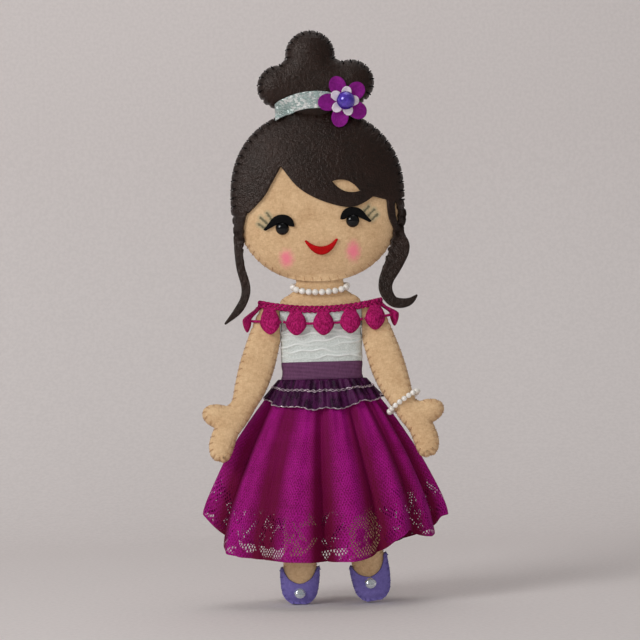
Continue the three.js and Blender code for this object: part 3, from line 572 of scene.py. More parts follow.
@dataclass(frozen=True)
class Ribbed(Finish):
    """Grosgrain ribbon: fine ribs along it."""

    def pattern(self, n: Nodes, shader: bpy.types.Node) -> Pattern:
        """Colour and height of the ribs."""
        where = n.place()
        _, _, z = n.split(where)
        bent = n.math("MULTIPLY_ADD", n.grain(where, 9, 2), 0.0006, z)
        ribs = n.math("SINE", n.math("MULTIPLY", bent, 2 * math.pi / 0.00072))
        ribs = n.math("MULTIPLY_ADD", ribs, 0.5, 0.5)
        yarns = n.grain(n.vector("MULTIPLY", where, (1.0, 1.0, 0.2)), 0.5, 2)
        share = n.math("MULTIPLY_ADD", yarns, 0.6, n.math("MULTIPLY", ribs, 0.5))
        return n.mix(n.span(share, 0.3, 0.8), self.dark, self.light), ribs


@dataclass(frozen=True)
class Voile(Finish):
    """Thin white lace cloth: a woven ground, with thick cords where its attribute cord is 1."""

    def pattern(self, n: Nodes, shader: bpy.types.Node) -> Pattern:
        """Colour and height of the cloth."""
        where = n.place()
        cords = n.add("ShaderNodeAttribute", attribute_name="cord").outputs["Fac"]
        weave = n.grain(n.vector("MULTIPLY", where, (1.0, 1.0, 2.0)), 0.9, 2)
        ground = n.math("MULTIPLY", n.span(weave, 0.35, 0.75), 0.5)
        share = n.math("MAXIMUM", ground, n.math("MULTIPLY", cords, n.span(weave, 0.1, 0.5)))
        return n.mix(share, self.dark, self.light), share


@dataclass(frozen=True)
class Organza(Finish):
    """Sheer woven ribbon with a silky shine."""

    def pattern(self, n: Nodes, shader: bpy.types.Node) -> Pattern:
        """Colour and height of the weave, partly see-through."""
        where = n.place()
        yarns = n.grain(n.vector("MULTIPLY", where, (1.0, 1.0, 0.15)), 0.5, 2)
        bands = n.grain(n.vector("MULTIPLY", where, (1.0, 1.0, 0.25)), 4, 2)
        share = n.math("MULTIPLY_ADD", yarns, 0.2, n.math("MULTIPLY", bands, 0.8))
        n.feed(shader.inputs["Alpha"], n.math("MULTIPLY_ADD", yarns, 0.5, 0.65, clamp=True))
        return n.mix(n.span(share, 0.35, 0.65), self.dark, self.light), yarns


@dataclass(frozen=True)
class Lame(Finish):
    """Crumpled ribbon of metal thread."""

    def pattern(self, n: Nodes, shader: bpy.types.Node) -> Pattern:
        """Bright facets between dull threads."""
        where = n.place()
        cells = n.add("ShaderNodeTexVoronoi", feature="F1")
        n.feed(cells.inputs["Vector"], n.vector("MULTIPLY", where, (0.6, 1.0, 1.0)))
        n.feed(cells.inputs["Scale"], 1300.0)
        flakes = n.span(n.split(cells.outputs["Color"])[0], 0.25, 0.85)
        crush = n.grain(where, 1.3, 3)
        share = n.math("MULTIPLY_ADD", flakes, 0.7, n.math("MULTIPLY", crush, 0.4))
        n.feed(shader.inputs["Metallic"], n.span(flakes, 0.2, 0.9))
        n.feed(shader.inputs["Roughness"], n.math("MULTIPLY_ADD", crush, 0.5, 0.12))
        return n.mix(n.span(share, 0.2, 0.95), self.dark, self.light), share


@dataclass(frozen=True)
class Lace(Finish):
    """Floral lace on its UV map: x along the hem and y up from it, in metres.

    Its attribute hollow is 1 deep between two folds, where the cloth lies in its own shade; there a
    painted shade colour is mixed in.

    Attributes:
        repeat: Width of one motif in millimetres.
        cell: From hole to hole of the net.
    """

    repeat: float = 30.0
    cell: float = 1.9

    def oval(
        self, n: Nodes, x: object, y: object, centre: Spot, half: Spot, lean: float = 0.0
    ) -> Socket:
        """How far a place is from an oval's centre, 1 at its edge.

        Args:
            n: The material's nodes.
            x: Place along the motif in metres.
            y: Place above the hem in metres.
            centre: The oval's centre in millimetres.
            half: Its half axes in millimetres.
            lean: Turn of the oval in degrees.

        Returns:
            The relative distance.
        """
        cos, sin = math.cos(math.radians(lean)), math.sin(math.radians(lean))
        dx = n.math("SUBTRACT", x, centre[0] * MM)
        dy = n.math("SUBTRACT", y, centre[1] * MM)
        u = n.math("MULTIPLY_ADD", dx, cos, n.math("MULTIPLY", dy, sin))
        v = n.math("MULTIPLY_ADD", dy, cos, n.math("MULTIPLY", dx, -sin))
        flat = n.join(n.math("DIVIDE", u, half[0] * MM), n.math("DIVIDE", v, half[1] * MM), 0.0)
        return n.vector("LENGTH", flat, out="Value")

    def pattern(self, n: Nodes, shader: bpy.types.Node) -> Pattern:
        """Close stitches, with see-through net round the motifs near the hem."""
        flat = n.add("ShaderNodeUVMap", uv_map="lace").outputs[0]
        u, v, _ = n.split(flat)
        wobble = n.math("SUBTRACT", n.grain(flat, 6, 2), 0.5)
        x = n.math("MULTIPLY_ADD", wobble, 0.003, n.math("PINGPONG", u, self.repeat * MM))
        v = n.math("MULTIPLY_ADD", wobble, 0.004, v)
        slant = n.math("MULTIPLY", v, 0.62)
        pitch, strands = self.cell * MM / 2, []
        for way in (n.math("ADD", u, slant), n.math("SUBTRACT", u, slant)):
            strands.append(n.math("PINGPONG", way, pitch))
        hole = n.span(n.math("MINIMUM", *strands), 0.34 * pitch, 0.6 * pitch)
        ring = n.span(self.oval(n, x, v, (4, 13), (7.5, 12.5)), 1.05, 0.9)
        core = n.span(self.oval(n, x, v, (4, 12.5), (4, 6)), 0.92, 1.08)
        leaf = n.span(self.oval(n, x, v, (18, 17), (1.7, 8), 38), 1.05, 0.85)
        twig = n.span(self.oval(n, x, v, (25, 10), (1.5, 6.5), -42), 1.05, 0.85)
        bud = n.span(self.oval(n, x, v, (17, 6), (4.5, 2.6), 10), 1.05, 0.85)
        sprig = n.span(self.oval(n, x, v, (26, 24), (1.4, 5), 30), 1.05, 0.85)
        open_net = n.math("MULTIPLY", ring, core)
        loose = n.math("MULTIPLY", n.span(n.grain(flat, 8, 2), 0.55, 0.62), n.span(v, 0.03, 0.02))
        for part in (leaf, twig, bud, sprig, loose):
            open_net = n.math("MAXIMUM", open_net, part)
        open_net = n.math("MULTIPLY", open_net, n.span(v, 0.0012, 0.0022))
        n.feed(shader.inputs["Alpha"], n.math("SUBTRACT", 1.0, n.math("MULTIPLY", hole, open_net)))
        stitches = n.grain(flat, 0.75, 2)
        clouds = n.grain(flat, 12, 2)
        share = n.math("MULTIPLY_ADD", stitches, 0.75, n.math("MULTIPLY", clouds, 0.25))
        # painted shade: the net's holes are darkened, for the shaded inside of the skirt seen through
        # them
        share = n.math("SUBTRACT", share, n.math("MULTIPLY", hole, 0.16))
        colour = n.mix(n.span(share, 0.3, 0.6), self.dark, self.light)
        hollow = n.add("ShaderNodeAttribute", attribute_name="hollow").outputs["Fac"]
        # painted shade: the colour goes towards a dark maroon where hollow is high, between the folds
        return n.mix(n.math("MULTIPLY", hollow, 0.95), colour, PAINTED_FOLD_SHADE), stitches


ROUGE = linear(246, 124, 150)
LASH_WASH = linear(168, 162, 130)
LASH_INK = linear(70, 72, 54)
# painted shade colour for the lace between the skirt's folds
PAINTED_FOLD_SHADE = linear(92, 0, 34)
MATT = (("Specular IOR Level", 0.15),)
SKIN = Felt("skin_felt", linear(190, 151, 110), linear(231, 198, 155), 0.95, 0.26)
FACE = FaceFelt(
    "face_felt", SKIN.dark, SKIN.light, SKIN.roughness, SKIN.bump,
    cheeks=((-17.2, 184, 4.4, 5.4), (18.1, 187, 4.4, 6.2)),
    lashes=(
        ((-28.4, 200.5), (-31.5, 202.4)), ((-27.0, 202.6), (-30.3, 205.8)),
        ((-24.6, 204.8), (-26.8, 208.0)), ((24.5, 207.8), (26.9, 210.2)),
        ((26.7, 205.5), (29.8, 208.5)), ((28.7, 203.5), (31.3, 206.0)),
    ),
)
HAIR = Felt(
    "hair_felt", linear(13, 7, 4), linear(40, 24, 18), 0.33, 0.8,
    settings=(("Specular IOR Level", 0.38), ("Specular Tint", (1.0, 0.86, 0.8, 1.0))),
)
PETAL = Felt("petal_felt", linear(104, 18, 100), linear(150, 38, 146), 0.92, 0.22, settings=MATT)
PALE_PETAL = Felt("pale_petal_felt", linear(214, 200, 212), linear(240, 230, 238), 0.92, 0.22)
LID = Felt("lid_felt", linear(6, 6, 7), linear(20, 19, 20), 0.92, 0.25, settings=MATT)
LIPS = Felt("lip_felt", linear(164, 8, 12), linear(206, 22, 26), 0.9, 0.2, settings=MATT)
SHOE = Felt("shoe_felt", linear(100, 90, 156), linear(132, 120, 188), 0.92, 0.22, settings=MATT)
FLEECE = Felt("fibre_filling", linear(222, 218, 206), linear(248, 246, 240), 1.0, 0.5)
SKIN_THREAD = Yarn("skin_thread", linear(176, 134, 96), linear(210, 170, 130), 0.85, 0.06)
HAIR_THREAD = Yarn("hair_thread", linear(8, 5, 5), linear(22, 16, 15), 0.85, 0.06, settings=MATT)
SHOE_THREAD = Yarn("shoe_thread", linear(84, 74, 138), linear(112, 100, 168), 0.85, 0.06, settings=MATT)
TRIM = Yarn("trim_yarn", linear(128, 8, 66), linear(196, 36, 116), 0.8, 0.16, 0.1, MATT)
BELT = Ribbed("belt_ribbon", linear(80, 46, 74), linear(122, 80, 114), 0.7, 0.12, 0.05, MATT)
BLOUSE = Voile("blouse_voile", linear(196, 202, 197), linear(246, 249, 246), 0.8, 0.2, 0.1)
RUFFLE = Organza("ruffle_ribbon", linear(38, 8, 36), linear(80, 26, 74), 0.5, 0.04, 0.0, MATT)
TINSEL = Lame("metal_thread", linear(150, 130, 142), linear(244, 228, 236), 0.3, 0.08)
LAME = Lame("hairband_ribbon", linear(150, 168, 164), linear(250, 255, 253), 0.3, 0.35)
SKIRT = Lace("skirt_lace", linear(106, 2, 66), linear(168, 20, 134), 0.75, 0.2, 0.04, MATT)
PEARL = Finish(
    "white_pearl", linear(226, 220, 210), linear(248, 244, 238), 0.22,
    settings=(("Coat Weight", 0.6), ("Coat Roughness", 0.08)),
)
VIOLET = Finish(
    "violet_pearl", linear(58, 32, 150), linear(92, 60, 190), 0.2,
    settings=(("Coat Weight", 0.8), ("Coat Roughness", 0.06), ("Metallic", 0.25)),
)
BEAD = Finish(
    "black_bead", linear(2, 2, 3), linear(6, 6, 8), 0.07,
    settings=(("Specular IOR Level", 0.35),),
)
STONE = Finish(
    "rhinestone", linear(206, 216, 226), linear(244, 248, 252), 0.06,
    settings=(("Metallic", 0.75), ("Coat Weight", 1.0), ("Coat Roughness", 0.02)),
)
CORD = Yarn("bead_thread", linear(206, 200, 190), linear(236, 232, 224), 0.8, 0.04)
PAPER = Finish("sweep_paper", linear(222, 215, 213), linear(228, 221, 219), 0.9)


# Making pieces


def finish(
    bm: Mesh,
    name: str,
    body: str,
    surface: Finish,
    slot: str,
    replaces: Sequence[str] = (),
    thick: float = 0.0,
    matrix: Matrix | None = None,
    flat: bool = False,
    bend: Sequence[Triple] = (),
) -> bpy.types.Object:
    """Turns a mesh in millimetres into a piece that rides on a body, or on none when given a bend.

    Args:
        bm: The mesh; it is freed.
        name: The piece's name.
        body: The body it moves with.
        surface: Its finish.
        slot: The record's material slot; not used.
        replaces: Nodes that it stands for.
        thick: Thickness that a Solidify modifier gives it inward.
        matrix: Where its own frame is.
        flat: Whether its faces stay facets.
        bend: Where it leaves the torso and where it is all on its body, in metres; given, the piece's
            transform is only baked in and it rides on no body.

    Returns:
        The piece.
    """
    if matrix is not None:
        bmesh.ops.transform(bm, matrix=matrix, verts=bm.verts[:])
    bmesh.ops.scale(bm, vec=(MM, MM, MM), verts=bm.verts[:])
    mesh = bpy.data.meshes.new(name)
    bm.to_mesh(mesh)
    bm.free()
    mesh.shade_flat() if flat else mesh.shade_smooth()
    mesh.materials.append(surface.material())
    piece = bpy.data.objects.new(name, mesh)
    bpy.context.scene.collection.objects.link(piece)
    if thick:
        wall = piece.modifiers.new("thickness", "SOLIDIFY")
        wall.thickness = thick * MM
        wall.offset = -1.0
        edges = piece.modifiers.new("edges", "WEIGHTED_NORMAL")
        edges.keep_sharp = True
    if bend:
        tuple(bend[0])
        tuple(bend[1])
        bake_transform(piece)
    else:
        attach(piece, body)
    if replaces:
        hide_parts(*replaces)
    LOG.info("%s: %d faces on %s", name, len(mesh.polygons), body)
    return piece


def stuffed(
    bm: Mesh, part: str, face: Face, body: str,
    surface: Finish = SKIN, slot: str = "skin_felt", matrix: Matrix | None = None,
) -> None:
    """Finishes one felt panel of a stuffed part.

    Args:
        bm: The panel's mesh.
        part: The part's name.
        face: Which panel.
        body: The body it moves with.
        surface: Its felt.
        slot: The record's material slot.
        matrix: Where its own frame is.
    """
    node = f"{part}_{face.word}"
    piece = finish(bm, f"{node}_felt", body, surface, slot, [node], FELT, matrix)


def box_of(node: str) -> tuple[np.ndarray, np.ndarray]:
    """The low and the high corner of a node's box, in millimetres."""
    low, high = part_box(node)
    return np.array(low) / MM, np.array(high) / MM


def absorb(bm: Mesh, other: Mesh) -> None:
    """Adds another mesh to a mesh and frees it."""
    held = bpy.data.meshes.new("part")
    other.to_mesh(held)
    other.free()
    bm.from_mesh(held)
    bpy.data.meshes.remove(held)


def ease(bm: Mesh) -> None:
    """Evens out the swell of a panel, apart from its edge."""
    inner = [v for v in bm.verts if not v.is_boundary]
    for _ in range(3):
        bmesh.ops.smooth_vert(bm, verts=inner, factor=0.5, use_axis_y=True)


def close_round(bm: Mesh) -> None:
    """Joins the first and last columns of a grid that was bent round, and turns its faces out."""
    bmesh.ops.remove_doubles(bm, verts=bm.verts[:], dist=0.02)
    bmesh.ops.recalc_face_normals(bm, faces=bm.faces[:])


def fill_outline(
    loops: Sequence[Outline], pitch: float, rings: Sequence[float] = ()
) -> Mesh:
    """A flat sheet inside outlines, cut into a fine grid, facing the viewer.

    Args:
        loops: The outer outline and any openings.
        pitch: Size of the grid.
        rings: Widths of strips along the edge, from outside in.

    Returns:
        The sheet in the X-Z plane.
    """
    bm = bmesh.new()
    for loop in loops:
        verts = [bm.verts.new((x, 0.0, z)) for x, z in loop.points]
        for a, b in zip(verts, verts[1:] + verts[:1]):
            bm.edges.new((a, b))
    bmesh.ops.triangle_fill(bm, use_beauty=True, edges=bm.edges[:], normal=(0, -1, 0))
    bm.normal_update()
    wrong = [f for f in bm.faces if f.normal.y > 0]
    bmesh.ops.reverse_faces(bm, faces=wrong)
    inner = bm.faces[:]
    for width in rings:
        bmesh.ops.inset_region(bm, faces=inner, use_boundary=True, thickness=width)
    spots = spots_of(bm)
    for axis, direction in ((0, (1, 0, 0)), (1, (0, 0, 1))):
        for level in np.arange(spots[:, axis].min() + 0.43 * pitch, spots[:, axis].max(), pitch):
            geometry = bm.verts[:] + bm.edges[:] + bm.faces[:]
            place = (level, 0, 0) if axis == 0 else (0, 0, level)
            bmesh.ops.bisect_plane(bm, geom=geometry, dist=1e-4, plane_co=place, plane_no=direction)
    bmesh.ops.remove_doubles(bm, verts=bm.verts[:], dist=0.01)
    return bm


def drape(bm: Mesh, height: Height, face: Face = Face.FRONT) -> None:
    """Lays a flat sheet on a form.

    Args:
        bm: The sheet in the X-Z plane.
        height: Distance from that plane at rows of x and z.
        face: Which side of the plane.
    """
    for vert, level in zip(bm.verts, height(spots_of(bm))):
        vert.co.y = face.value * level
    if face is Face.BACK:
        bmesh.ops.reverse_faces(bm, faces=bm.faces[:])


def close_seam(
    bm: Mesh,
    face: Face,
    sewn: Callable[[Vector], bool] = lambda place: True,
    depth: Callable[[Vector], float] = lambda place: SEAM_GAP,
) -> None:
    """Turns a panel's free edge in to the seam, with a small groove where the panels meet.

    Args:
        bm: The open panel.
        face: Which panel.
        sewn: Which edge vertices belong to the seam.
        depth: How far from the middle plane the edge ends.
    """
    for share, draw in ((0.45, 0.0), (1.0, 0.3)):
        edges = [e for e in bm.edges if e.is_boundary and all(sewn(v.co) for v in e.verts)]
        middle = sum((v.co for v in bm.verts), Vector()) / len(bm.verts)
        made = bmesh.ops.extrude_edge_only(bm, edges=edges)
        for vert in (g for g in made["geom"] if isinstance(g, bmesh.types.BMVert)):
            end = face.value * depth(vert.co)
            vert.co.y += (end - vert.co.y) * share
            pull = Vector((middle.x - vert.co.x, 0, middle.z - vert.co.z)).normalized()
            vert.co += pull * draw


def loft_grid(across: int, along: int) -> Mesh:
    """A grid to be bent into shape: x from -1 to 1 and y from -1 to 1."""
    bm = bmesh.new()
    bmesh.ops.create_grid(bm, x_segments=across, y_segments=along, size=1.0)
    return bm


def tubes(
    runs: Iterable[Sequence[Sequence[float]]], radius: float, sides: int = 6, closed: bool = False
) -> Mesh:
    """Round threads along lines.

    Args:
        runs: The lines, each a row of points.
        radius: The threads' radius.
        sides: Number of sides, even.
        closed: Whether each line is a ring.

    Returns:
        One mesh of all the threads.
    """
    curve = bpy.data.curves.new("thread", "CURVE")
    curve.dimensions = "3D"
    curve.bevel_depth = radius
    curve.bevel_resolution = max(0, sides // 2 - 2)
    curve.use_fill_caps = True
    for run in runs:
        spline = curve.splines.new("POLY")
        spline.points.add(len(run) - 1)
        for point, place in zip(spline.points, run):
            point.co = (*place, 1.0)
        spline.use_cyclic_u = closed
    holder = bpy.data.objects.new("thread", curve)
    bpy.context.scene.collection.objects.link(holder)
    solid = holder.evaluated_get(bpy.context.evaluated_depsgraph_get())
    mesh = bpy.data.meshes.new_from_object(solid)
    bm = bmesh.new()
    bm.from_mesh(mesh)
    bpy.data.objects.remove(holder)
    bpy.data.curves.remove(curve)
    bpy.data.meshes.remove(mesh)
    bmesh.ops.remove_doubles(bm, verts=bm.verts[:], dist=1e-4)
    return bm


@dataclass
class Sewn:
    """A whip-stitched seam, which draws the felt in at each of its stitches.

    Attributes:
        outline: The seam's outline.
        pitch: Distance from stitch to stitch.
        draw: How far a stitch pulls the edge in.
    """

    outline: Outline
    pitch: float
    draw: float

    @property
    def count(self) -> int:
        """Number of stitches round the whole outline."""
        return round(self.outline.length / self.pitch)

    def pinch(self, spots: np.ndarray) -> np.ndarray:
        """How tightly the seam holds the felt at rows of x and z, from 0 to 1."""
        apart, way = self.outline.nearest(spots)
        beat = np.cos(2 * np.pi * (way / self.outline.length * self.count - 0.5))
        return np.clip(beat, 0, 1) ** 2 * np.exp(-apart / 2.2)

    def pucker(
        self, bm: Mesh, where: Callable[[Vector], bool] = lambda place: True
    ) -> None:
        """Pulls a panel in at its stitches, where it is sewn."""
        spots = spots_of(bm)
        held = self.pinch(spots) * [where(vert.co) for vert in bm.verts]
        _, way = self.outline.nearest(spots)
        pull = self.outline.outward(way) * (self.draw * held)[:, None]
        for vert, (across, up), pinch in zip(bm.verts, pull, held):
            vert.co.x -= across
            vert.co.z -= up
            vert.co.y *= 1 - 0.12 * pinch

    def stitches(
        self,
        half: Height,
        inset: float = 2.2,
        where: Callable[[np.ndarray], bool] = lambda place: True,
        depth: Callable[[np.ndarray], float] = lambda place: 0.0,
        lift: float = 0.1,
    ) -> list[list[Vector]]:
        """Threads that pass over the edge of the seam from the front to the back.

        Args:
            half: Half thickness of the form.
            inset: How far inside the edge the thread goes in.
            where: Which places of the outline are sewn.
            depth: Half of an opening in the seam; there the stitch ends at the edge.
            lift: Height of the thread over the felt.

        Returns:
            The line of each stitch.
        """
        def on_panel(way: float, share: float, face: Face) -> Vector:
            """A point of a stitch on one panel: 0 at the edge and 1 where it goes in."""
            spot, out = self.outline.place(way + face.value * STITCH_SLANT * share)
            spot = spot - out * inset * share
            level = half(spot[None])[0] + (lift if share < 1 else -0.5)
            return Vector((spot[0], face.value * level, spot[1]))

        shares = (1.0, 0.97, 0.6, 0.25)
        runs = []
        for i in range(self.count):
            way = (i + 0.5) * self.outline.length / self.count
            place, out = self.outline.place(way)
            if not where(place):
                continue
            opening = depth(place)
            edge = place + out * lift
            run = [on_panel(way, share, Face.FRONT) for share in shares]
            run.append(Vector((edge[0], -max(opening, THREAD_HALF), edge[1])))
            if opening <= THREAD_HALF:
                run.append(Vector((edge[0], THREAD_HALF, edge[1])))
                run += [on_panel(way, share, Face.BACK) for share in reversed(shares)]
            runs.append(run)
        return runs


@dataclass
class Limb:
    """A stuffed limb: widths and depths at heights, thin at its two side seams.

    Attributes:
        stations: Height, width and depth from the lower end up.
        ease: Length over which the stations are smoothed.
        low: Height of its lower end.
        high: Height of its upper end.
        levels: Heights of the smoothed table.
        table: Widths and depths at those heights.
    """

    stations: Sequence[Triple]
    ease: float
    low: float = field(init=False)
    high: float = field(init=False)
    levels: np.ndarray = field(init=False)
    table: list[np.ndarray] = field(init=False)

    def __post_init__(self) -> None:
        """Smooths the stations into a fine table."""
        rows = np.array(self.stations)
        self.low, self.high = float(rows[0, 0]), float(rows[-1, 0])
        self.levels = np.linspace(self.low, self.high, 400)
        spread = max(1, int(self.ease / (self.levels[1] - self.levels[0])))
        weights = np.ones(spread) / spread
        self.table = []
        for k in (1, 2):
            values = np.interp(self.levels, rows[:, 0], rows[:, k])
            before = 2 * values[0] - values[spread:0:-1]
            after = 2 * values[-1] - values[-2 : -spread - 2 : -1]
            padded = np.concatenate([before, values, after])
            self.table.append(np.convolve(padded, weights, "same")[spread:-spread])

    def size(self, z: np.ndarray) -> tuple[np.ndarray, np.ndarray]:
        """Widths and depths at heights."""
        return np.interp(z, self.levels, self.table[0]), np.interp(z, self.levels, self.table[1])

    def half(self, spots: np.ndarray, grow: float = 0.0) -> np.ndarray:
        """Half thickness at rows of x and z, grown outward."""
        width, depth = self.size(spots[:, 1])
        share = np.clip(np.abs(spots[:, 0]) / (width / 2 + grow), 0, 1)
        return FELT + grow + np.maximum(depth / 2 - FELT, 0) * np.sqrt(1 - share**2)

    def outline(self) -> list[Spot]:
        """Corners of the limb's outline, up its right side and down its left."""
        z = np.linspace(self.low, self.high, 60)
        width, _ = self.size(z)
        right = [(w / 2, level) for w, level in zip(width, z)]
        return right + [(-x, level) for x, level in reversed(right)]

    def panel(self, face: Face, across: int, along: int) -> Mesh:
        """One felt panel of the limb, from seam to seam."""
        bm = loft_grid(across, along)
        for vert in bm.verts:
            turn = vert.co.x * math.pi / 2
            z = self.low + (vert.co.y + 1) / 2 * (self.high - self.low)
            width, depth = (float(v) for v in self.size(np.array(z)))
            rise = FELT + max(depth / 2 - FELT, 0) * math.cos(turn)
            vert.co = (width / 2 * math.sin(turn), face.value * rise, z)
        if face is Face.BACK:
            bmesh.ops.reverse_faces(bm, faces=bm.faces[:])
        return bm


def strung(path: Callable[[float], Vector], radius: float) -> Mesh:
    """Drilled round beads side by side along a closed path.

    Args:
        path: The path's point at an angle.
        radius: A bead's radius.

    Returns:
        The beads in one mesh.
    """
    turns = np.linspace(0, 2 * math.pi, 400)
    steps = [(path(b) - path(a)).length for a, b in zip(turns, turns[1:])]
    ways = np.concatenate([[0], np.cumsum(steps)])
    count = round(ways[-1] / (2 * radius))
    bm = bmesh.new()
    for i in range(count):
        at = float(np.interp(i / count * ways[-1], ways, turns))
        middle, along = path(at), path(at + 0.01) - path(at - 0.01)
        size = radius * (1 + 0.04 * noise.noise(Vector((i * 1.7, 0, 0))))
        place = Matrix.Translation(middle) @ along.to_track_quat("Z", "Y").to_matrix().to_4x4()
        made = bmesh.ops.create_uvsphere(bm, u_segments=14, v_segments=9, radius=size, matrix=place)
        for vert in made["verts"]:
            if len(vert.link_edges) > POLE_EDGES:
                vert.co = middle + (vert.co - middle) * 0.8
    return bm


def pearl_string(
    name: str, body: str, path: Callable[[float], Vector], radius: float, steps: int,
    matrix: Matrix | None = None,
) -> None:
    """Pearls strung on a thread.

    Args:
        name: The node they stand for.
        body: The body they move with.
        path: The string's point at an angle.
        radius: A pearl's radius.
        steps: Points along the thread.
        matrix: Where their own frame is.
    """
    pearls = strung(path, radius)
    finish(pearls, f"{name}_pearls", body, PEARL, "white_pearl", [name], matrix=matrix)
    line = [path(t) for t in np.linspace(0, 2 * math.pi, steps, endpoint=False)]
    thread = tubes([line], 0.25, 6, True)
    finish(thread, f"{name}_thread", body, CORD, "white_pearl", matrix=matrix)


# The head with its face and hair


@dataclass
class Head:
    """Head of two stuffed felt panels, with felt hair, face, bun, band and flower.

    Attributes:
        width: Width of the head.
        height: Height of the head.
        depth: Thickness of the stuffed head.
        squareness: Exponent of its outline.
        centre: Height of its middle.
        hair_lift: From the head's panel to the outside of its hair.
        lean: Degrees that the hanging locks lean forward.
        bun_rise: The bun's middle above the head's.
        bun_depth: Thickness of the bun.
        lobes: Circles that make up the bun: x, z and radius from its middle.
        fringe: The hairline from the parting to the right lock.
        sweep: The hairline from the left lock up to the parting.
        left_lock: The left lock's middle line, with its width at each point.
        right_lock: The right lock's.
        lens: The opening in the hair over the parting.
        slit: The gap between the hair and the right lock.
        lid: A lid round its eye, outward being positive.
        smile: The mouth.
        seam: Where the head's two panels meet.
        hair_seam: Where the front and the back hair meet.
        bun_z: Height of the bun's middle.
        bun_seam: Where the bun's two panels meet.
    """

    width: float = 89.4
    height: float = 90.0
    depth: float = 29.0
    squareness: float = 2.25
    centre: float = 216.5
    hair_lift: float = 1.6
    lean: float = 12.0
    bun_rise: float = 60.0
    bun_depth: float = 19.0
    lobes: tuple[Triple, ...] = (
        (-2, 15.5, 13.2), (-19, -1, 11.6), (19.5, 0.5, 12.2), (0, -4, 17.5),
    )
    fringe: tuple[Spot, ...] = (
        (-19, 16), (-10.9, 5.4), (-0.9, -1.3), (11.8, -5.8), (19.8, -6.1), (26, -3.4), (29.4, -1),
    )
    sweep: tuple[Spot, ...] = ((-37, -8.3), (-28.6, 0), (-24.4, 6.7), (-19, 16))
    left_lock: tuple[Triple, ...] = (
        (-41.8, -6.3, 9.2), (-42.6, -14, 5.6), (-42.8, -24, 4.6), (-41.8, -36, 4.6),
        (-39.2, -46.5, 4.8), (-40, -53.2, 4.4), (-43.8, -59.6, 4), (-50.7, -66.4, 0.8),
    )
    right_lock: tuple[Triple, ...] = (
        (41, -2.2, 8.6), (42.4, -11.5, 9.4), (43, -19.6, 5), (43.3, -27.4, 10),
        (39.8, -36, 9.6), (35.4, -44.6, 7.8), (34.8, -50.6, 7), (38, -56.2, 5.6),
        (43, -57.6, 5), (47.6, -56.6, 3.6), (51.4, -53.4, 0.8),
    )
    lens: tuple[Bow, ...] = (((7.9, 7.4), (17, 10.5), 8), ((22.6, 2), (13.5, -0.6), 8))
    slit: tuple[Bow, ...] = (((41, -3.2), (45.2, -9.5), 8), ((42.4, -17), (40.6, -9.5), 8))
    lid: tuple[Bow, ...] = (
        ((-6.6, 0.7), (-5.9, 7.1), 10), ((0.2, 7.2), (4.2, 7.1), 10), ((6.8, 3.4), (8.4, 1.2), 8),
        ((10, -0.3), (9.8, -1), 8), ((8.8, -1.1), (6, 0.5), 8), ((3.6, 1.4), (0, 4.6), 8),
        ((-3.6, 1), (-5.4, 0.4), 8),
    )
    smile: tuple[Bow, ...] = (
        ((-8.8, 2.2), (-4.8, -5), 12), ((0, -5), (5.4, -4.8), 12), ((8.8, 2.9), (8.6, 3.6), 4),
        ((7.6, 3.3), (4.2, -0.6), 10), ((0, -0.6), (-4.2, -0.6), 10), ((-7.8, 2.8), (-8.8, 3), 4),
    )
    seam: Outline = field(init=False)
    hair_seam: Outline = field(init=False)
    bun_z: float = field(init=False)
    bun_seam: Outline = field(init=False)

    def __post_init__(self) -> None:
        """Draws the seams that the panels and the hair follow."""
        self.seam = Outline(self.ring(0), 1.2)
        self.hair_seam = Outline(self.ring(self.hair_lift), 1.2)
        self.bun_z = self.centre + self.bun_rise
        turns = np.linspace(0, 2 * math.pi, 240, endpoint=False)
        reach = np.array([self.bun_reach(t) for t in turns])
        eased = np.mean([np.roll(reach, step) for step in range(-8, 9)], axis=0)
        reach = np.maximum(reach, eased)
        across, up = reach * np.cos(turns), self.bun_z + reach * np.sin(turns)
        self.bun_seam = Outline(zip(across, up), 1.0)

    def radius(self, turn: np.ndarray) -> np.ndarray:
        """Distance of the head's outline from its middle at angles."""
        across = np.abs(np.cos(turn) / (self.width / 2)) ** self.squareness
        up = np.abs(np.sin(turn) / (self.height / 2)) ** self.squareness
        return (across + up) ** (-1 / self.squareness)

    def ring(self, grow: float, start: float = 0.0, end: float = 360.0) -> list[Spot]:
        """Points of the head's outline from one angle to another, grown outward."""
        turns = np.radians(np.linspace(start, end, int(abs(end - start) / 2) + 1))
        reach = self.radius(turns) + grow
        return [(r * math.cos(t), self.centre + r * math.sin(t)) for r, t in zip(reach, turns)]

    def half(self, spots: np.ndarray, grow: float = 0.0) -> np.ndarray:
        """Half thickness of the head at rows of x and z, fuller where the neck goes in."""
        x, z = spots[:, 0], spots[:, 1] - self.centre
        share = np.hypot(x, z) / (self.radius(np.arctan2(z, x)) + grow)
        rim = FELT + grow
        form = rim + (self.depth / 2 + grow - rim) * np.sqrt(np.clip(1 - share**2, 0, 1))
        collar = (6.4 + grow) * np.sqrt(np.clip(1 - (x / 19) ** 2, 0, 1)) * (z < -30)
        return np.maximum(form, collar)

    @staticmethod
    def opening(place: Vector | np.ndarray) -> float:
        """Half of the gap that the neck needs in the head's seam."""
        x, z = place[0], place[-1]
        if z > 180 or abs(x) > 15:
            return SEAM_GAP
        return max(SEAM_GAP, 5.1 * math.sqrt(1 - (x / 15) ** 2))

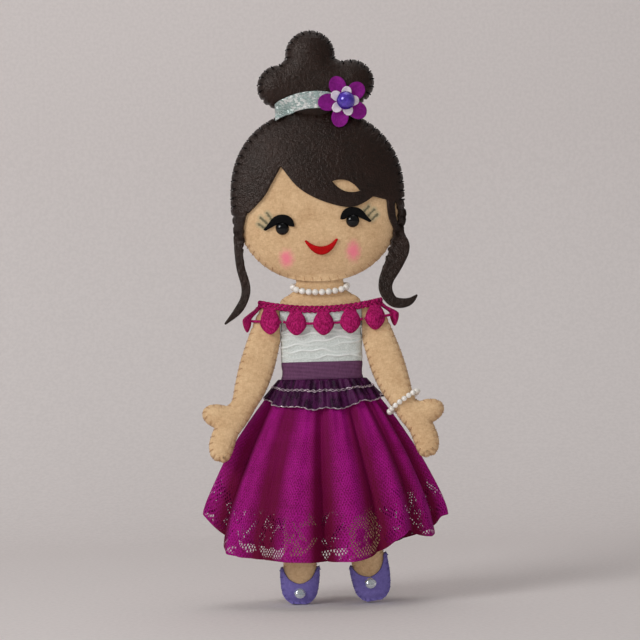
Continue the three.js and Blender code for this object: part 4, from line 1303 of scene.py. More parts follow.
    def panels(self) -> None:
        """The two felt panels of the head and their stitches."""
        sewn = Sewn(self.seam, 4.6, 0.55)
        for face in Face:
            bm = bmesh.new()
            bmesh.ops.create_uvsphere(
                bm, u_segments=124, v_segments=56, radius=1.0, matrix=UPRIGHT
            )
            unwanted = [v for v in bm.verts if v.co.y * face.value < -1e-4]
            bmesh.ops.delete(bm, geom=unwanted, context="VERTS")
            for vert in bm.verts:
                reach = float(self.radius(np.array(math.atan2(vert.co.z, vert.co.x))))
                vert.co.x *= reach
                vert.co.z = self.centre + vert.co.z * reach
            for vert, level in zip(bm.verts, self.half(spots_of(bm))):
                vert.co.y = face.value * level
            sewn.pucker(bm)
            close_seam(bm, face, depth=self.opening)
            stuffed(bm, "head", face, "head", FACE if face is Face.FRONT else SKIN)
        runs = sewn.stitches(
            self.half, where=lambda p: p[1] < self.centre - 2, depth=self.opening
        )
        finish(tubes(runs, SKIN_GAUGE), "head_stitches", "head", SKIN_THREAD, "skin_felt")

    def lock_sides(self, spine: Sequence[Triple]) -> tuple[list[Spot], list[Spot]]:
        """The two edges of a lock along its middle line.

        Args:
            spine: Points of the middle line with the lock's width there.

        Returns:
            The edge on the right of a downward line's viewer, and the other one.
        """
        line = through(spine)
        ahead = np.gradient(line[:, :2], axis=0)
        ahead /= np.linalg.norm(ahead, axis=1)[:, None]
        aside = np.stack([-ahead[:, 1], ahead[:, 0]], axis=1)
        aside = aside * np.maximum(line[:, 2:3], 0.6) / 2
        lifted = line[:, :2] + (0, self.centre)
        return [tuple(p) for p in lifted + aside], [tuple(p) for p in lifted - aside]

    def hair_height(self, spots: np.ndarray) -> np.ndarray:
        """Outside of the front hair: on the head, and hanging free in the two locks."""
        on_head = self.half(spots, self.hair_lift)
        start = np.where(spots[:, 0] < 0, -17.0, -14.5) + self.centre
        fall = np.maximum(start - spots[:, 1], 0)
        hang = 2.9 + fall * math.tan(math.radians(self.lean))
        form = np.where(spots[:, 1] > start + 3, on_head, np.maximum(on_head, hang))
        share = np.hypot(spots[:, 0], spots[:, 1] - self.centre)
        return np.where(share > 60, hang, form)

    def hair(self) -> None:
        """The front hair with both locks in one sheet, the back hair, and their stitches."""
        up = self.centre
        right_out, right_in = self.lock_sides(self.right_lock)
        left_in, left_out = self.lock_sides(self.left_lock)
        fringe = [(x, z + up) for x, z in through(self.fringe)]
        sweep = [(x, z + up) for x, z in through(self.sweep)]
        top = self.ring(self.hair_lift, -1.5, 184)
        right, left = [*right_in, *reversed(right_out)], [*left_out, *reversed(left_in)]
        loops = [Outline([*fringe, *right, *top, *left, *sweep[:-1]], 0.9)]
        for hole in (self.lens, self.slit):
            loops.append(Outline([(x, z + up) for x, z in bows(hole)], 0.7))
        bm = fill_outline(loops, 1.6)
        middles = np.array([(e.verts[0].co + e.verts[1].co) / 2 for e in bm.edges])[:, [0, 2]]
        close = (self.hair_seam.nearest(middles)[0] < 4.5) & (middles[:, 1] > up - 5)
        near = [e for e, rim in zip(bm.edges, close) if rim and e.calc_length() > 0.7]
        bmesh.ops.subdivide_edges(bm, edges=near, cuts=2, use_grid_fill=True)
        drape(bm, self.hair_height)
        sewn = Sewn(self.hair_seam, 4.7, 1.1)
        sewn.pucker(bm)
        close_seam(bm, Face.FRONT, sewn=partial(self.on_rim, up - 4))
        piece = finish(
            bm, "hair_front_felt", "head", HAIR, "hair_felt",
            ["hair_front", "side_lock_left", "side_lock_right"], FELT,
        )
        self.back_hair(sewn)
        on_hair = partial(self.half, grow=self.hair_lift)
        runs = sewn.stitches(on_hair, 2.6, where=lambda p: p[1] > up - 6, lift=0.02)
        finish(tubes(runs, HAIR_GAUGE), "hair_stitches", "head", HAIR_THREAD, "hair_felt")

    def on_rim(self, low: float, place: Vector) -> bool:
        """Whether a place is on the hair's seam and above a height."""
        spots = np.array([[place.x, place.z]])
        return place.z > low and self.hair_seam.nearest(spots)[0][0] < 1.2

    def back_hair(self, sewn: Sewn) -> None:
        """The hair on the back of the head, down to the nape."""
        nape = self.ring(-2.6, 183, 357)
        loop = Outline([*self.ring(self.hair_lift, 0, 180), *nape], 1.0)
        bm = fill_outline([loop], 2.4, (0.6, 0.9, 1.2, 1.6))
        drape(bm, partial(self.half, grow=self.hair_lift), Face.BACK)
        sewn.pucker(bm)
        close_seam(bm, Face.BACK, sewn=partial(self.on_rim, self.centre - 1))
        piece = finish(bm, "hair_back_felt", "head", HAIR, "hair_felt", ["hair_back"], FELT)

    def patch(
        self, node: str, turns: Sequence[Bow], middle: Spot, surface: Finish, slot: str,
        lift: float, flip: int = 1,
    ) -> None:
        """A small felt shape on the face.

        Args:
            node: The node it stands for.
            turns: The bows of its outline.
            middle: Where their origin is on the face.
            surface: Its felt.
            slot: The record's slot.
            lift: Its outside over the head's panel.
            flip: -1 where it is mirrored.
        """
        def at(spot: Spot) -> Spot:
            """A place of the shape on the face."""
            return middle[0] + flip * spot[0], middle[1] + spot[1]

        edge = bows([(at(start), at(control), steps) for start, control, steps in turns])
        bm = fill_outline([Outline(edge, 0.5)], 0.9)
        rim = {v for v in bm.verts if v.is_boundary}
        drape(bm, partial(self.half, grow=lift))
        for vert in rim:
            vert.co.y += 0.25
        finish(bm, f"{node}_felt", "head", surface, slot, [node], lift - 0.05)

    def face(self) -> None:
        """Glossy bead eyes, black felt lids and a red felt mouth."""
        for side in Side:
            node = f"eye_{side.word}"
            low, high = box_of(node)
            x, z = ((low + high) / 2)[[0, 2]]
            seat = float(self.half(np.array([[x, z]]))[0])
            bm = bmesh.new()
            bmesh.ops.create_uvsphere(bm, u_segments=32, v_segments=20, radius=3.6, matrix=UPRIGHT)
            bmesh.ops.scale(bm, vec=(1, 0.8, 1), verts=bm.verts[:])
            bmesh.ops.translate(bm, vec=(x, -seat + 0.1, z), verts=bm.verts[:])
            finish(bm, f"{node}_bead", "head", BEAD, "black_bead", [node])
            lid = f"lid_{side.word}"
            self.patch(lid, self.lid, (x, z), LID, "black_felt", 1.5, side.value)
        low, high = box_of("mouth")
        middle = (low[0] + high[0]) / 2, low[2] + 5
        self.patch("mouth", self.smile, middle, LIPS, "red_felt", 1.4)

    def bun_reach(self, turn: float) -> float:
        """Distance of the bun's outline from its middle at an angle."""
        cos, sin = math.cos(turn), math.sin(turn)
        reach = 0.0
        for x, z, radius in self.lobes:
            aside = x * sin - z * cos
            if abs(aside) < radius:
                reach = max(reach, x * cos + z * sin + math.sqrt(radius**2 - aside**2))
        return reach

    def bun_half(self, spots: np.ndarray, grow: float = 0.0) -> np.ndarray:
        """Half thickness of the bun: round at its seam and full in each lobe."""
        apart, _ = self.bun_seam.nearest(spots)
        roll = np.clip(apart / 11.5, 0, 1)
        return FELT + grow + (self.bun_depth / 2 - FELT) * np.sqrt(1 - (1 - roll) ** 2)

    def bun(self) -> None:
        """The two felt panels of the bun and their stitches."""
        sewn = Sewn(self.bun_seam, 4.4, 1.1)
        for face in Face:
            bm = fill_outline([self.bun_seam], 1.6, (0.4, 0.6, 0.8, 1.0))
            drape(bm, self.bun_half, face)
            ease(bm)
            sewn.pucker(bm)
            close_seam(bm, face)
            stuffed(bm, "bun", face, "head", HAIR, "hair_felt")
        runs = sewn.stitches(self.bun_half, where=lambda p: p[1] > self.bun_z - 8, lift=0.02)
        finish(tubes(runs, HAIR_GAUGE), "bun_stitches", "head", HAIR_THREAD, "hair_felt")

    def band(self) -> None:
        """The metal-thread ribbon round the bun's foot."""
        rise, tall, drop = 51.0 + self.centre, 9.0, 5.2
        sides = np.linspace(-21.4, 22.6, 24)

        def arch(x: float, up: int) -> Spot:
            """A place on the ribbon's lower or upper edge."""
            return float(x), rise + up * tall / 2 - drop * (x / 20) ** 2

        edge = Outline([arch(x, -1) for x in sides] + [arch(x, 1) for x in sides[::-1]], 0.8)
        whole = bmesh.new()
        for face in Face:
            bm = fill_outline([edge], 0.9, (0.35,))
            heights = self.bun_half(spots_of(bm), 1.3)
            for vert, level in zip(bm.verts, heights):
                x, _, z = vert.co
                ends = np.clip((23.6 - abs(x + 0.4)) / 5, 0, 1)
                crush = 0.35 * noise.noise(Vector((x * 0.5, face.value * 3, z * 0.7)))
                hold = max(float(self.half(np.array([[x, z]]), 2.0)[0]), float(level))
                taper = math.sin(ends * math.pi / 2) ** 0.6
                vert.co.y = face.value * ((hold + crush) * taper + 0.1)
            if face is Face.BACK:
                bmesh.ops.reverse_faces(bm, faces=bm.faces[:])
            absorb(whole, bm)
        piece = finish(whole, "hairband_ribbon", "head", LAME, "silver_ribbon", ["hairband"], 0.6)

    def flower(self) -> None:
        """Two layers of felt petals and a violet pearl, turned a little to the right."""
        low, high = box_of("flower_outer")
        x, y, z = 15.2, (low[1] + high[1]) / 2, self.centre + 49.6
        seat = Matrix.Translation((x, y, z)) @ Matrix.Rotation(math.radians(12), 4, "Z")
        layers = (
            ("flower_outer", 14.0, 0.9, PETAL, "magenta_felt", 0.0),
            ("flower_inner", 8.1, -0.75, PALE_PETAL, "pale_lilac_felt", 36.0),
        )
        for node, radius, depth, surface, slot, turn in layers:
            corners, first = [], math.radians(39 + turn)
            for t in np.linspace(0, 2 * math.pi, 200, endpoint=False):
                lobe = abs(math.cos(2.5 * (t - first))) ** 0.7
                reach = radius * (0.44 + 0.56 * lobe)
                corners.append((reach * math.cos(t), reach * math.sin(t)))
            edge = Outline(corners, 0.6)
            bm = fill_outline([edge], 1.0, (0.25,))
            rim = {v for v in bm.verts if v.is_boundary}
            for vert in bm.verts:
                out = math.hypot(vert.co.x, vert.co.z) / radius
                spoke = math.cos(5 * (math.atan2(vert.co.z, vert.co.x) - first))
                level = depth - FELT / 2 - 0.8 * out**2 + 0.5 * out * spoke
                vert.co.y = level + (0.25 if vert in rim else 0)
            piece = finish(bm, f"{node}_petals", "head", surface, slot, [node], FELT, seat)
            edge.area
        low, high = box_of("flower_pearl")
        bm = bmesh.new()
        centre = (low + high) / 2
        place = Matrix.Translation(Vector(centre + (-1.2, 0.3, -1.1))) @ UPRIGHT
        made = bmesh.ops.create_uvsphere(bm, u_segments=36, v_segments=24, radius=4.9, matrix=place)
        for vert in made["verts"]:
            if len(vert.link_edges) > POLE_EDGES:
                vert.co.y += 0.7 if vert.co.y < centre[1] else -0.7
        finish(bm, "flower_pearl_bead", "head", VIOLET, "violet_pearl", ["flower_pearl"])

    def build(self) -> None:
        """Makes every piece of the head."""
        self.panels()
        self.hair()
        self.bun()
        self.band()
        self.face()
        self.flower()


# The torso and its clothes


@dataclass
class Torso:
    """Stuffed torso with blouse, belt, ruffle, lace skirt, necklace and the trim across it.

    Attributes:
        form: The torso's stations.
        waist: Height of the skirt's top.
        hem: Height of the hem at angles from the front, right being positive.
        ridges: Angles of the skirt's folds.
        reach: Half width of the hem.
        deep: Half depth of the hem.
        fold: Depth of the folds at the hem.
        cords: Height, slope and waviness of each cord of the bodice.
        hem_line: The hem in fine steps.
        marks: The folds' angles, repeated to both sides.
    """

    form: Limb = field(default_factory=lambda: Limb((
        (97.8, 34.1, 5), (100.2, 44.2, 11), (105.8, 48, 16.9), (115, 44.2, 18), (122, 38.8, 16.9),
        (128.7, 40, 18), (142.5, 40, 18), (150, 40, 17.2), (154, 43.2, 16), (160, 43.2, 12),
        (162.4, 41.7, 10.8), (164.9, 33, 9.9), (167.2, 26, 9), (176.5, 25, 9), (178.3, 25, 8.2),
        (180.6, 24, 3.5),
    ), 1.6))
    waist: float = 119.7
    hem: tuple[Spot, ...] = (
        (-180, 25.2), (-150, 28), (-120, 36), (-90, 50), (-76, 40.5), (-62, 30.6), (-40, 26.8),
        (-12, 25.2), (10, 25.2), (22, 26.8), (30, 30.2), (39, 35.8), (47, 39.5), (54, 37.2), (62, 35.5),
        (72, 36.3), (82, 40.4), (92, 46), (120, 36), (150, 28), (180, 25.2),
    )
    ridges: tuple[float, ...] = (-86, -54, -17, 14, 42, 67, 92, 118, 145, 172, 199, 226, 252)
    reach: float = 58.5
    deep: float = 31.0
    fold: float = 5.2
    cords: tuple[Triple, ...] = (
        (131.6, 0.02, 0.6), (134.6, -0.03, 0.8), (138.0, 0.05, 0.7), (140.6, 0.02, 0.9),
        (143.4, -0.05, 0.6), (146.2, 0.03, 0.8), (150.6, 0.04, 0.7),
    )
    hem_line: np.ndarray = field(init=False)
    marks: np.ndarray = field(init=False)

    def __post_init__(self) -> None:
        """Draws the line of the hem and the beat of the folds."""
        self.hem_line = through(self.hem, 5)
        self.marks = np.array([r + whole for whole in (-360, 0, 360) for r in self.ridges])

    def panels(self) -> None:
        """The torso's two felt panels, and the stitches up its sides and neck."""
        sewn = Sewn(Outline(self.form.outline(), 1.0), 4.2, 0.35)
        for face in Face:
            bm = self.form.panel(face, 36, 120)
            sewn.pucker(bm)
            close_seam(bm, face)
            stuffed(bm, "torso", face, "torso")
        runs = sewn.stitches(self.form.half, 1.8, where=lambda p: 158 < p[1] < 170)
        finish(tubes(runs, SKIN_GAUGE), "torso_stitches", "torso", SKIN_THREAD, "skin_felt")

    def around(self, turn: float, z: float, grow: float) -> Vector:
        """A point round the torso, grown outward.

        Args:
            turn: Angle from the front, right being positive.
            z: Height.
            grow: Distance from the torso's panel.

        Returns:
            The point.
        """
        width, depth = (float(v) for v in self.form.size(np.array(z)))
        x = (width / 2 + grow) * math.sin(turn)
        rim = (FELT + grow) * math.tanh(6 * math.cos(turn))
        return Vector((x, -rim - (depth / 2 - FELT) * math.cos(turn), z))

    @staticmethod
    def away(angle: float, flat: float = 1.6) -> Vector:
        """The level direction outward at an angle from the front, on a flattened circle."""
        return Vector((math.sin(angle) / flat, -math.cos(angle), 0)).normalized()

    def sleeve(
        self, low: float, high: float, grow: Callable[[float, float], float], across: int, along: int
    ) -> Mesh:
        """A band of cloth round the torso.

        Args:
            low: Height of its lower edge.
            high: Height of its upper edge.
            grow: Its distance from the felt at an angle and a height.
            across: Steps round.
            along: Steps up.

        Returns:
            The band, open above and below.
        """
        bm = loft_grid(across, along)
        for vert in bm.verts:
            turn = (vert.co.x + 1) * math.pi
            z = low + (vert.co.y + 1) / 2 * (high - low)
            vert.co = self.around(turn, z, grow(turn, z))
        close_round(bm)
        return bm

    def blouse(self) -> None:
        """White lace wrapped round the chest, with cords that run across it."""
        def cord(turn: float, z: float) -> float:
            """How high the cords stand, from 0 to 1; they drift up and down."""
            x = 20 * math.sin(turn)
            rise = 0.0
            for i, (level, slope, bend) in enumerate(self.cords):
                line = level + slope * x + bend * math.sin(0.22 * x + 1.9 * i)
                line += 0.5 * math.sin(0.6 * x + i)
                strength = 0.65 + 0.35 * math.sin(0.17 * x + 2.3 * i)
                rise = max(rise, strength * math.exp(-(((z - line) / 0.6) ** 2)))
            return rise

        def grow(turn: float, z: float) -> float:
            """Height of the cloth."""
            lumps = noise.noise(Vector((5 * math.sin(turn), math.cos(turn) * 3, z * 0.3)))
            return 1.15 + 0.45 * math.sin(turn) ** 4 + 0.3 * lumps + 0.7 * cord(turn, z)

        bm = self.sleeve(128.9, 156.2, grow, 200, 90)
        cords = bm.verts.layers.float.new("cord")
        for vert in bm.verts:
            turn = math.atan2(vert.co.x / 20, -vert.co.y / 9)
            vert[cords] = cord(turn, vert.co.z)
            vert.co.x = max(-21.7, min(21.7, vert.co.x))
        piece = finish(bm, "blouse_lace", "torso", BLOUSE, "white_voile", ["blouse"], 0.4)

    def belt(self) -> None:
        """Ribbed ribbon round the waist, slightly crushed."""
        low, high = 119.4, 129.0

        def grow(turn: float, z: float) -> float:
            """Height of the ribbon, with a soft roll at both edges."""
            edge = min(z - low, high - z)
            roll = 0.35 * math.exp(-((edge / 0.7) ** 2))
            spot = Vector((16 * math.sin(turn) * 0.18, math.cos(turn) * 2, z * 0.35))
            return 1.75 + 0.28 * noise.noise(spot) - roll

        bm = self.sleeve(low, high, grow, 120, 20)
        piece = finish(bm, "belt_ribbon", "torso", BELT, "mauve_grosgrain", ["belt"], 0.7)

    def hem_at(self, turn: float) -> float:
        """Height of the skirt's hem at an angle in degrees."""
        return float(np.interp((turn + 180) % 360 - 180, self.hem_line[:, 0], self.hem_line[:, 1]))

    def wave(self, turn: float) -> float:
        """The folds at an angle in degrees: 1 on a broad ridge and -1 in a narrow hollow."""
        return 2 * self.crest(turn) ** 0.7 - 1

    def crest(self, turn: float) -> float:
        """1 along a fold's crest and 0 along the line between two folds."""
        return abs(math.cos(math.pi * float(np.interp(turn, self.marks, np.arange(len(self.marks))))))

    def skirt_point(self, turn: float, share: float) -> Vector:
        """A place on the skirt's outside.

        Args:
            turn: Angle from the front in degrees, right being positive.
            share: 0 at the waist and 1 at the hem.

        Returns:
            The point.
        """
        angle = math.radians(turn)
        sin, cos = math.sin(angle), math.cos(angle)
        swing = 1 - (1 - share) ** 1.45
        top = self.around(angle, self.waist, 1.2)
        end = Vector((self.reach * sin, -self.deep * cos * abs(cos) ** 0.3, self.hem_at(turn)))
        place = top.lerp(end, swing)
        place.z = top.z + (end.z - top.z) * share
        out = self.away(angle)
        broad = self.wave(turn + 1.5 * share * math.sin(5 * share + angle * 3))
        depth = self.fold * share**0.7 * (0.85 + 0.3 * math.sin(angle * 4 + 1))
        gathers = 0.5 * (1 - share) ** 1.5 * math.cos(angle * 38 + 2 * math.sin(3 * angle))
        ripple = 0.8 * share**2 * math.sin(angle * 29 + 1.3 * math.sin(7 * angle))
        soft = 0.8 * share * noise.noise(place * 0.05)
        return place + out * (depth * broad + gathers + ripple + soft)

    def skirt(self) -> None:
        """The gathered lace skirt, one sheet closed at the back."""
        bm = loft_grid(460, 84)
        sheet = bm.loops.layers.uv.new("lace")
        hollow = bm.verts.layers.float.new("hollow")
        places = {vert: (vert.co.x * 180, (1 - vert.co.y) / 2) for vert in bm.verts}
        wide = 0.43  # the lace's length along its hem, in metres
        for face in bm.faces:
            for loop in face.loops:
                turn, share = places[loop.vert]
                drop = (self.waist - self.hem_at(turn)) * MM * 1.1
                loop[sheet].uv = ((turn / 360 + 0.5) * wide, (1 - share) * drop)
        for vert, (turn, share) in places.items():
            vert.co = self.skirt_point(turn, share)
            # painted shade: hollow is high between the folds and grows towards the hem
            vert[hollow] = share**0.25 * min(1.0, max(0.0, (0.95 - self.crest(turn)) / 0.5))
        close_round(bm)
        piece = finish(bm, "skirt_lace", "torso", SKIRT, "magenta_lace", ["skirt"])

    def ruffle_point(self, turn: float, share: float) -> Vector:
        """A place on the ruffle: pleats that deepen downwards.

        Args:
            turn: Angle from the front in degrees.
            share: 0 at its upper edge and 1 at its lower one.

        Returns:
            The point.
        """
        angle = math.radians(turn)
        base = self.skirt_point(turn, 0.0)
        low = self.skirt_point(turn, 0.164 - 0.036 * math.sin(angle) ** 2)
        out = self.away(angle)
        beat = angle * 20 + 1.6 * math.sin(3 * angle) + 1.1 * math.sin(7 * angle + 1)
        pleat = (0.25 + 0.95 * share) * math.cos(beat) * (0.7 + 0.3 * math.sin(5 * angle))
        level = 0.6 * math.sin(beat * 0.5 + 0.6) * share
        return base.lerp(low, share) + out * (1.8 + 0.7 * share + pleat) + Vector((0, 0, level))

    def ruffle(self) -> None:
        """Sheer ribbon gathered over the skirt's top, with two rows of metal thread."""
        bm = loft_grid(420, 18)
        for vert in bm.verts:
            vert.co = self.ruffle_point(vert.co.x * 180, (1 - vert.co.y) / 2)
        close_round(bm)
        piece = finish(bm, "ruffle_ribbon", "torso", RUFFLE, "indigo_ribbon", ["ruffle"], 0.25)
        runs = []
        for share, lift in ((0.4, 0.28), (0.985, 0.2), (0.36, 0.3), (1.0, 0.05)):
            run = []
            for turn in np.linspace(-180, 180, 300, endpoint=False):
                out = self.away(math.radians(turn), 1.4)
                drift = 0.02 * math.sin(turn * 0.9 + share * 40)
                run.append(self.ruffle_point(turn, min(1.0, share + drift)) + out * lift)
            runs.append(run)
        rows = tubes(runs, 0.24, 4, True)
        threads = finish(rows, "ruffle_threads", "torso", TINSEL, "silver_ribbon")

    def necklace(self) -> None:
        """Round the neck, a string of small pearls."""
        def path(t: float) -> Vector:
            """A point of the string, which sags in front."""
            sin = math.sin(t)
            y = math.copysign(7.2 * abs(sin) ** 0.6, sin)
            return Vector((14.4 * math.cos(t), y, 169 + 3.2 * min(sin, 0.2 * sin)))

        pearl_string("necklace", "torso", path, 1.8, 60)

    def build(self) -> None:
        """Makes every piece of the torso."""
        self.panels()
        self.blouse()
        self.belt()
        self.skirt()
        self.ruffle()
        self.necklace()


# The trim round the shoulders


@dataclass
class Trim:
    """A plaited braid with wound drops hung from it, in four lengths.

    Attributes:
        wide: Half width of the braid's loop.
        deep: Its half depth.
        rise: Height of the braid at the sides.
        sag: How much lower it lies in front and behind.
        drop_wide: Half width of the drops' loop.
        drop_deep: Its half depth.
        drop_z: Height of the middle drop; the others hang higher, as the braid does.
        spacing: From drop to drop across the front.
        cut: Where the arms begin.
        give: Width over which a side length should pass from the torso to its arm, given only as its
            bend.
        shoulder: Height of the shoulders.
    """

    wide: float = 32.0
    deep: float = 9.05
    rise: float = 160.3
    sag: float = 3.6
    drop_wide: float = 39.3
    drop_deep: float = 12.7
    drop_z: float = 148.8
    spacing: float = 14.3
    cut: float = 21.7
    give: float = 8.0
    shoulder: float = 155.0

    def braid_at(self, turn: float) -> tuple[Vector, Vector]:
        """The braid's middle and its outward direction at an angle from the front."""
        sin, cos = math.sin(turn), math.cos(turn)
        place = Vector((self.wide * sin, -self.deep * cos, self.rise - self.sag * cos * cos))
        return place, Vector((sin / self.wide, -cos / self.deep, 0)).normalized()

    def braid(self, start: float, end: float) -> list[list[Vector]]:
        """Three plaited strands between two angles."""
        fine = np.linspace(start, end, 260)
        places = [self.braid_at(t) for t in fine]
        lengths = [(b[0] - a[0]).length for a, b in zip(places, places[1:])]
        way = np.concatenate([[0], np.cumsum(lengths)])
        steps = np.arange(0, way[-1], 0.42)
        runs = []
        for strand in range(3):
            run = []
            for at in steps:
                place, out = self.braid_at(float(np.interp(at, way, fine)))
                beat = 2 * math.pi * (at / 7.8 + strand / 3)
                rise = Vector((0, 0, 1)) * (1.35 * math.sin(beat))
                run.append(place + rise + out * (0.35 + 0.5 * math.sin(2 * beat)))
            runs.append(run)
        return runs

    def drop_at(self, turn: float) -> tuple[Vector, Vector]:
        """A drop's middle and its outward direction at an angle from the front."""
        sin, cos = math.sin(turn), math.cos(turn)
        z = self.drop_z + 3.2 * sin * sin + 0.8 * sin * abs(sin)
        place = Vector((self.drop_wide * sin, -self.drop_deep * cos, z))
        return place, Vector((sin / self.drop_wide, -cos / self.drop_deep, 0)).normalized()

    def drop(self, bm: Mesh, turn: float) -> None:
        """Adds one drop: thread wound over a flat teardrop, in fine ridges, with a broad neck."""
        made = bmesh.ops.create_uvsphere(bm, u_segments=60, v_segments=20, radius=1.0)
        place, out = self.drop_at(turn)
        side, up = Vector((0, 0, 1)).cross(out).normalized(), Vector((0, 0, 1))
        above = math.asin(max(-1.0, min(1.0, place.x / self.wide)))
        hang, away = self.braid_at(above if place.y <= 0 else math.pi - above)
        neck = hang + away * 0.9 - up * 1.2 - (place + up * 6.2)
        for vert in made["verts"]:
            x, y, z = vert.co
            angle, round_at = math.atan2(y, x), math.sqrt(max(0, 1 - z * z))
            ridge = 1 + 0.035 * math.cos(30 * angle + 2.0 * z) * round_at
            taper = 1 - 0.26 * max(-z, 0) ** 1.5
            tall = 5.9 if z < 0 else 6.2
            if z > 0.5 and round_at > 0.05:
                taper *= max(1.0, 0.62 / round_at)
            share = max(0.0, min(1.0, (z - 0.1) / 0.85))
            spot = place + side * (x * 5.4 * taper * ridge) - out * (y * 2.3 * min(taper, 1.6) * ridge)
            vert.co = spot + up * (z * tall) + neck * (share * share * (3 - 2 * share))

    def length(self, name: str, body: str, span: Spot, drops: Sequence[float]) -> None:
        """One length of the trim.

        Args:
            name: The node it stands for.
            body: The body it rides on; a length on an arm is given a bend instead and rides on none.
            span: Angles between which the braid runs.
            drops: Angles of its drops, in rising order.
        """
        past = 0.19  # how far the chain goes on after the outer drops
        bm = tubes(self.braid(*span), 0.72, 6)
        links = [self.link(*pair) for pair in zip(drops, drops[1:])]
        links += [self.link(drops[0], drops[0] - past), self.link(drops[-1], drops[-1] + past)]
        absorb(bm, tubes(links, 0.75, 6))
        for turn in drops:
            self.drop(bm, turn)
        bmesh.ops.recalc_face_normals(bm, faces=bm.faces[:])
        bend = []
        if body != "torso":
            out = math.copysign(MM, sum(drops))
            ends = (self.cut, self.cut + self.give)
            bend = [(reach * out, 0, self.shoulder * MM) for reach in ends]
        finish(bm, f"{name}_yarn", body, TRIM, "raspberry_yarn", [name], bend=bend)

    def link(self, first: float, second: float) -> list[Vector]:
        """The chain that joins two drops at half height."""
        return [
            self.drop_at(t)[0] + Vector((0, 0, 1.2 - 0.8 * math.sin(math.pi * s)))
            for s, t in zip(np.linspace(0, 1, 9), np.linspace(first, second, 9))
        ]

    def build(self) -> None:
        """Makes the four lengths."""
        seam = math.asin(self.cut / self.wide)
        near = math.asin(self.spacing / self.drop_wide)
        far = math.asin(2 * self.spacing / self.drop_wide) - 0.03
        turn, half = math.radians(2), math.pi
        for name, body, span, drops in (
            ("front", "torso", (-seam, seam), (-near, 0, near)),
            ("back", "torso", (half - seam, half + seam), (half - near, half, half + near)),
            ("right", "arm_right", (seam, half - seam), (far, half / 2, half - far)),
            ("left", "arm_left", (seam - half, -seam), (far - half, -half / 2, -far)),
        ):
            self.length(f"trim_{name}", body, span, [at + turn for at in drops])


# Arms and legs


@dataclass
class Arm:
    """A stuffed mitten arm, sewn to the torso's side.

    Attributes:
        side: Which arm.
        pivot: Distance of the shoulder from the middle, and its height.
        lean: Degrees forward and outward.
        stations: Middle, height and width from the fingers up.
        thumb: The thumb's middle and half axes.
        depth: Thickness of the stuffed arm.
        cut: Distance from the middle where the torso's side begins.
        seam: Where its two panels meet, in its own frame.
        frame: Where its own frame is.
    """

    side: Side
    pivot: Spot = (26.0, 155.0)
    lean: Spot = (12.0, 17.0)
    stations: tuple[Triple, ...] = (
        (5.8, -84, 5), (6, -81.5, 10.4), (6.6, -76, 13.2), (6.2, -68, 13.2), (3.6, -60, 13.6),
        (1.2, -51, 13.4), (0.3, -42, 16.6), (0, -30, 18.4), (0, -16, 17.2), (0, -5, 15.2), (0, 1.4, 12),
        (0, 4.8, 6),
    )
    thumb: tuple[float, float, float, float] = (11.6, -61, 9.5, 6.3)
    depth: float = 10.2
    cut: float = 21.8
    seam: Outline = field(init=False)
    frame: Matrix = field(init=False)

    def __post_init__(self) -> None:
        """Draws the arm's outline with its thumb, in the arm's own frame."""
        rows = through(self.stations)
        outer = [(x + w / 2, z) for x, z, w in rows]
        inner = [(x - w / 2, z) for x, z, w in rows]
        x, z, wide, tall = self.thumb
        turns = np.linspace(-1.45, 1.75, 26)
        lobe = [(x + wide * math.cos(t), z + tall * math.sin(t)) for t in turns]
        edge, levels = zip(*outer)
        lobe = [p for p in lobe if p[0] > float(np.interp(p[1], levels, edge)) - 0.2]
        below = [p for p in outer if p[1] < lobe[0][1] - 0.3]
        above = [p for p in outer if p[1] > lobe[-1][1] + 0.8]
        loop = [*below, *lobe, *above, *reversed(inner)]
        self.seam = Outline([(self.side.value * p, q) for p, q in loop], 0.8)
        place = Matrix.Translation((self.side.value * self.pivot[0], 0, self.pivot[1]))
        forward, outward = (math.radians(angle) for angle in self.lean)
        lean = Euler((-forward, -self.side.value * outward, 0))
        self.frame = place @ lean.to_matrix().to_4x4()

    def half(self, spots: np.ndarray) -> np.ndarray:
        """Half thickness of the arm: round at its seam, flatter within."""
        apart, _ = self.seam.nearest(spots)
        roll = np.clip(apart / 7.2, 0, 1)
        return FELT + (self.depth / 2 - FELT) * np.sqrt(1 - (1 - roll) ** 2)

    def build(self) -> None:
        """Makes the arm's panels and stitches, and the bracelet on the right one."""
        body = f"arm_{self.side.word}"
        sewn = Sewn(self.seam, 4.0, 0.45)
        outside = Vector((self.side.value, 0, 0))
        for face in Face:
            bm = fill_outline([self.seam], 1.5, (0.35, 0.5, 0.7, 0.9))
            drape(bm, self.half, face)
            ease(bm)
            sewn.pucker(bm)
            close_seam(bm, face)
            bmesh.ops.transform(bm, matrix=self.frame, verts=bm.verts[:])
            bmesh.ops.bisect_plane(
                bm, geom=bm.verts[:] + bm.edges[:] + bm.faces[:], dist=1e-4,
                plane_co=outside * self.cut, plane_no=outside, clear_inner=True,
            )
            bmesh.ops.remove_doubles(bm, verts=bm.verts[:], dist=0.02)
            stuffed(bm, body, face, body)
        stitches = tubes(sewn.stitches(self.half, 1.9, where=lambda p: p[1] < -12), SKIN_GAUGE)
        finish(stitches, f"{body}_stitches", body, SKIN_THREAD, "skin_felt", matrix=self.frame)
        if self.side is Side.RIGHT:
            self.bracelet(body)

    def bracelet(self, body: str) -> None:
        """A string of pearls round the wrist."""
        def path(t: float) -> Vector:
            """A point of the string in the arm's own frame."""
            across = 8.9 * math.cos(t)
            return Vector((1.7 + across, 6.6 * math.sin(t), -52 + 0.33 * across))

        pearl_string("bracelet", body, path, 1.5, 40, self.frame)


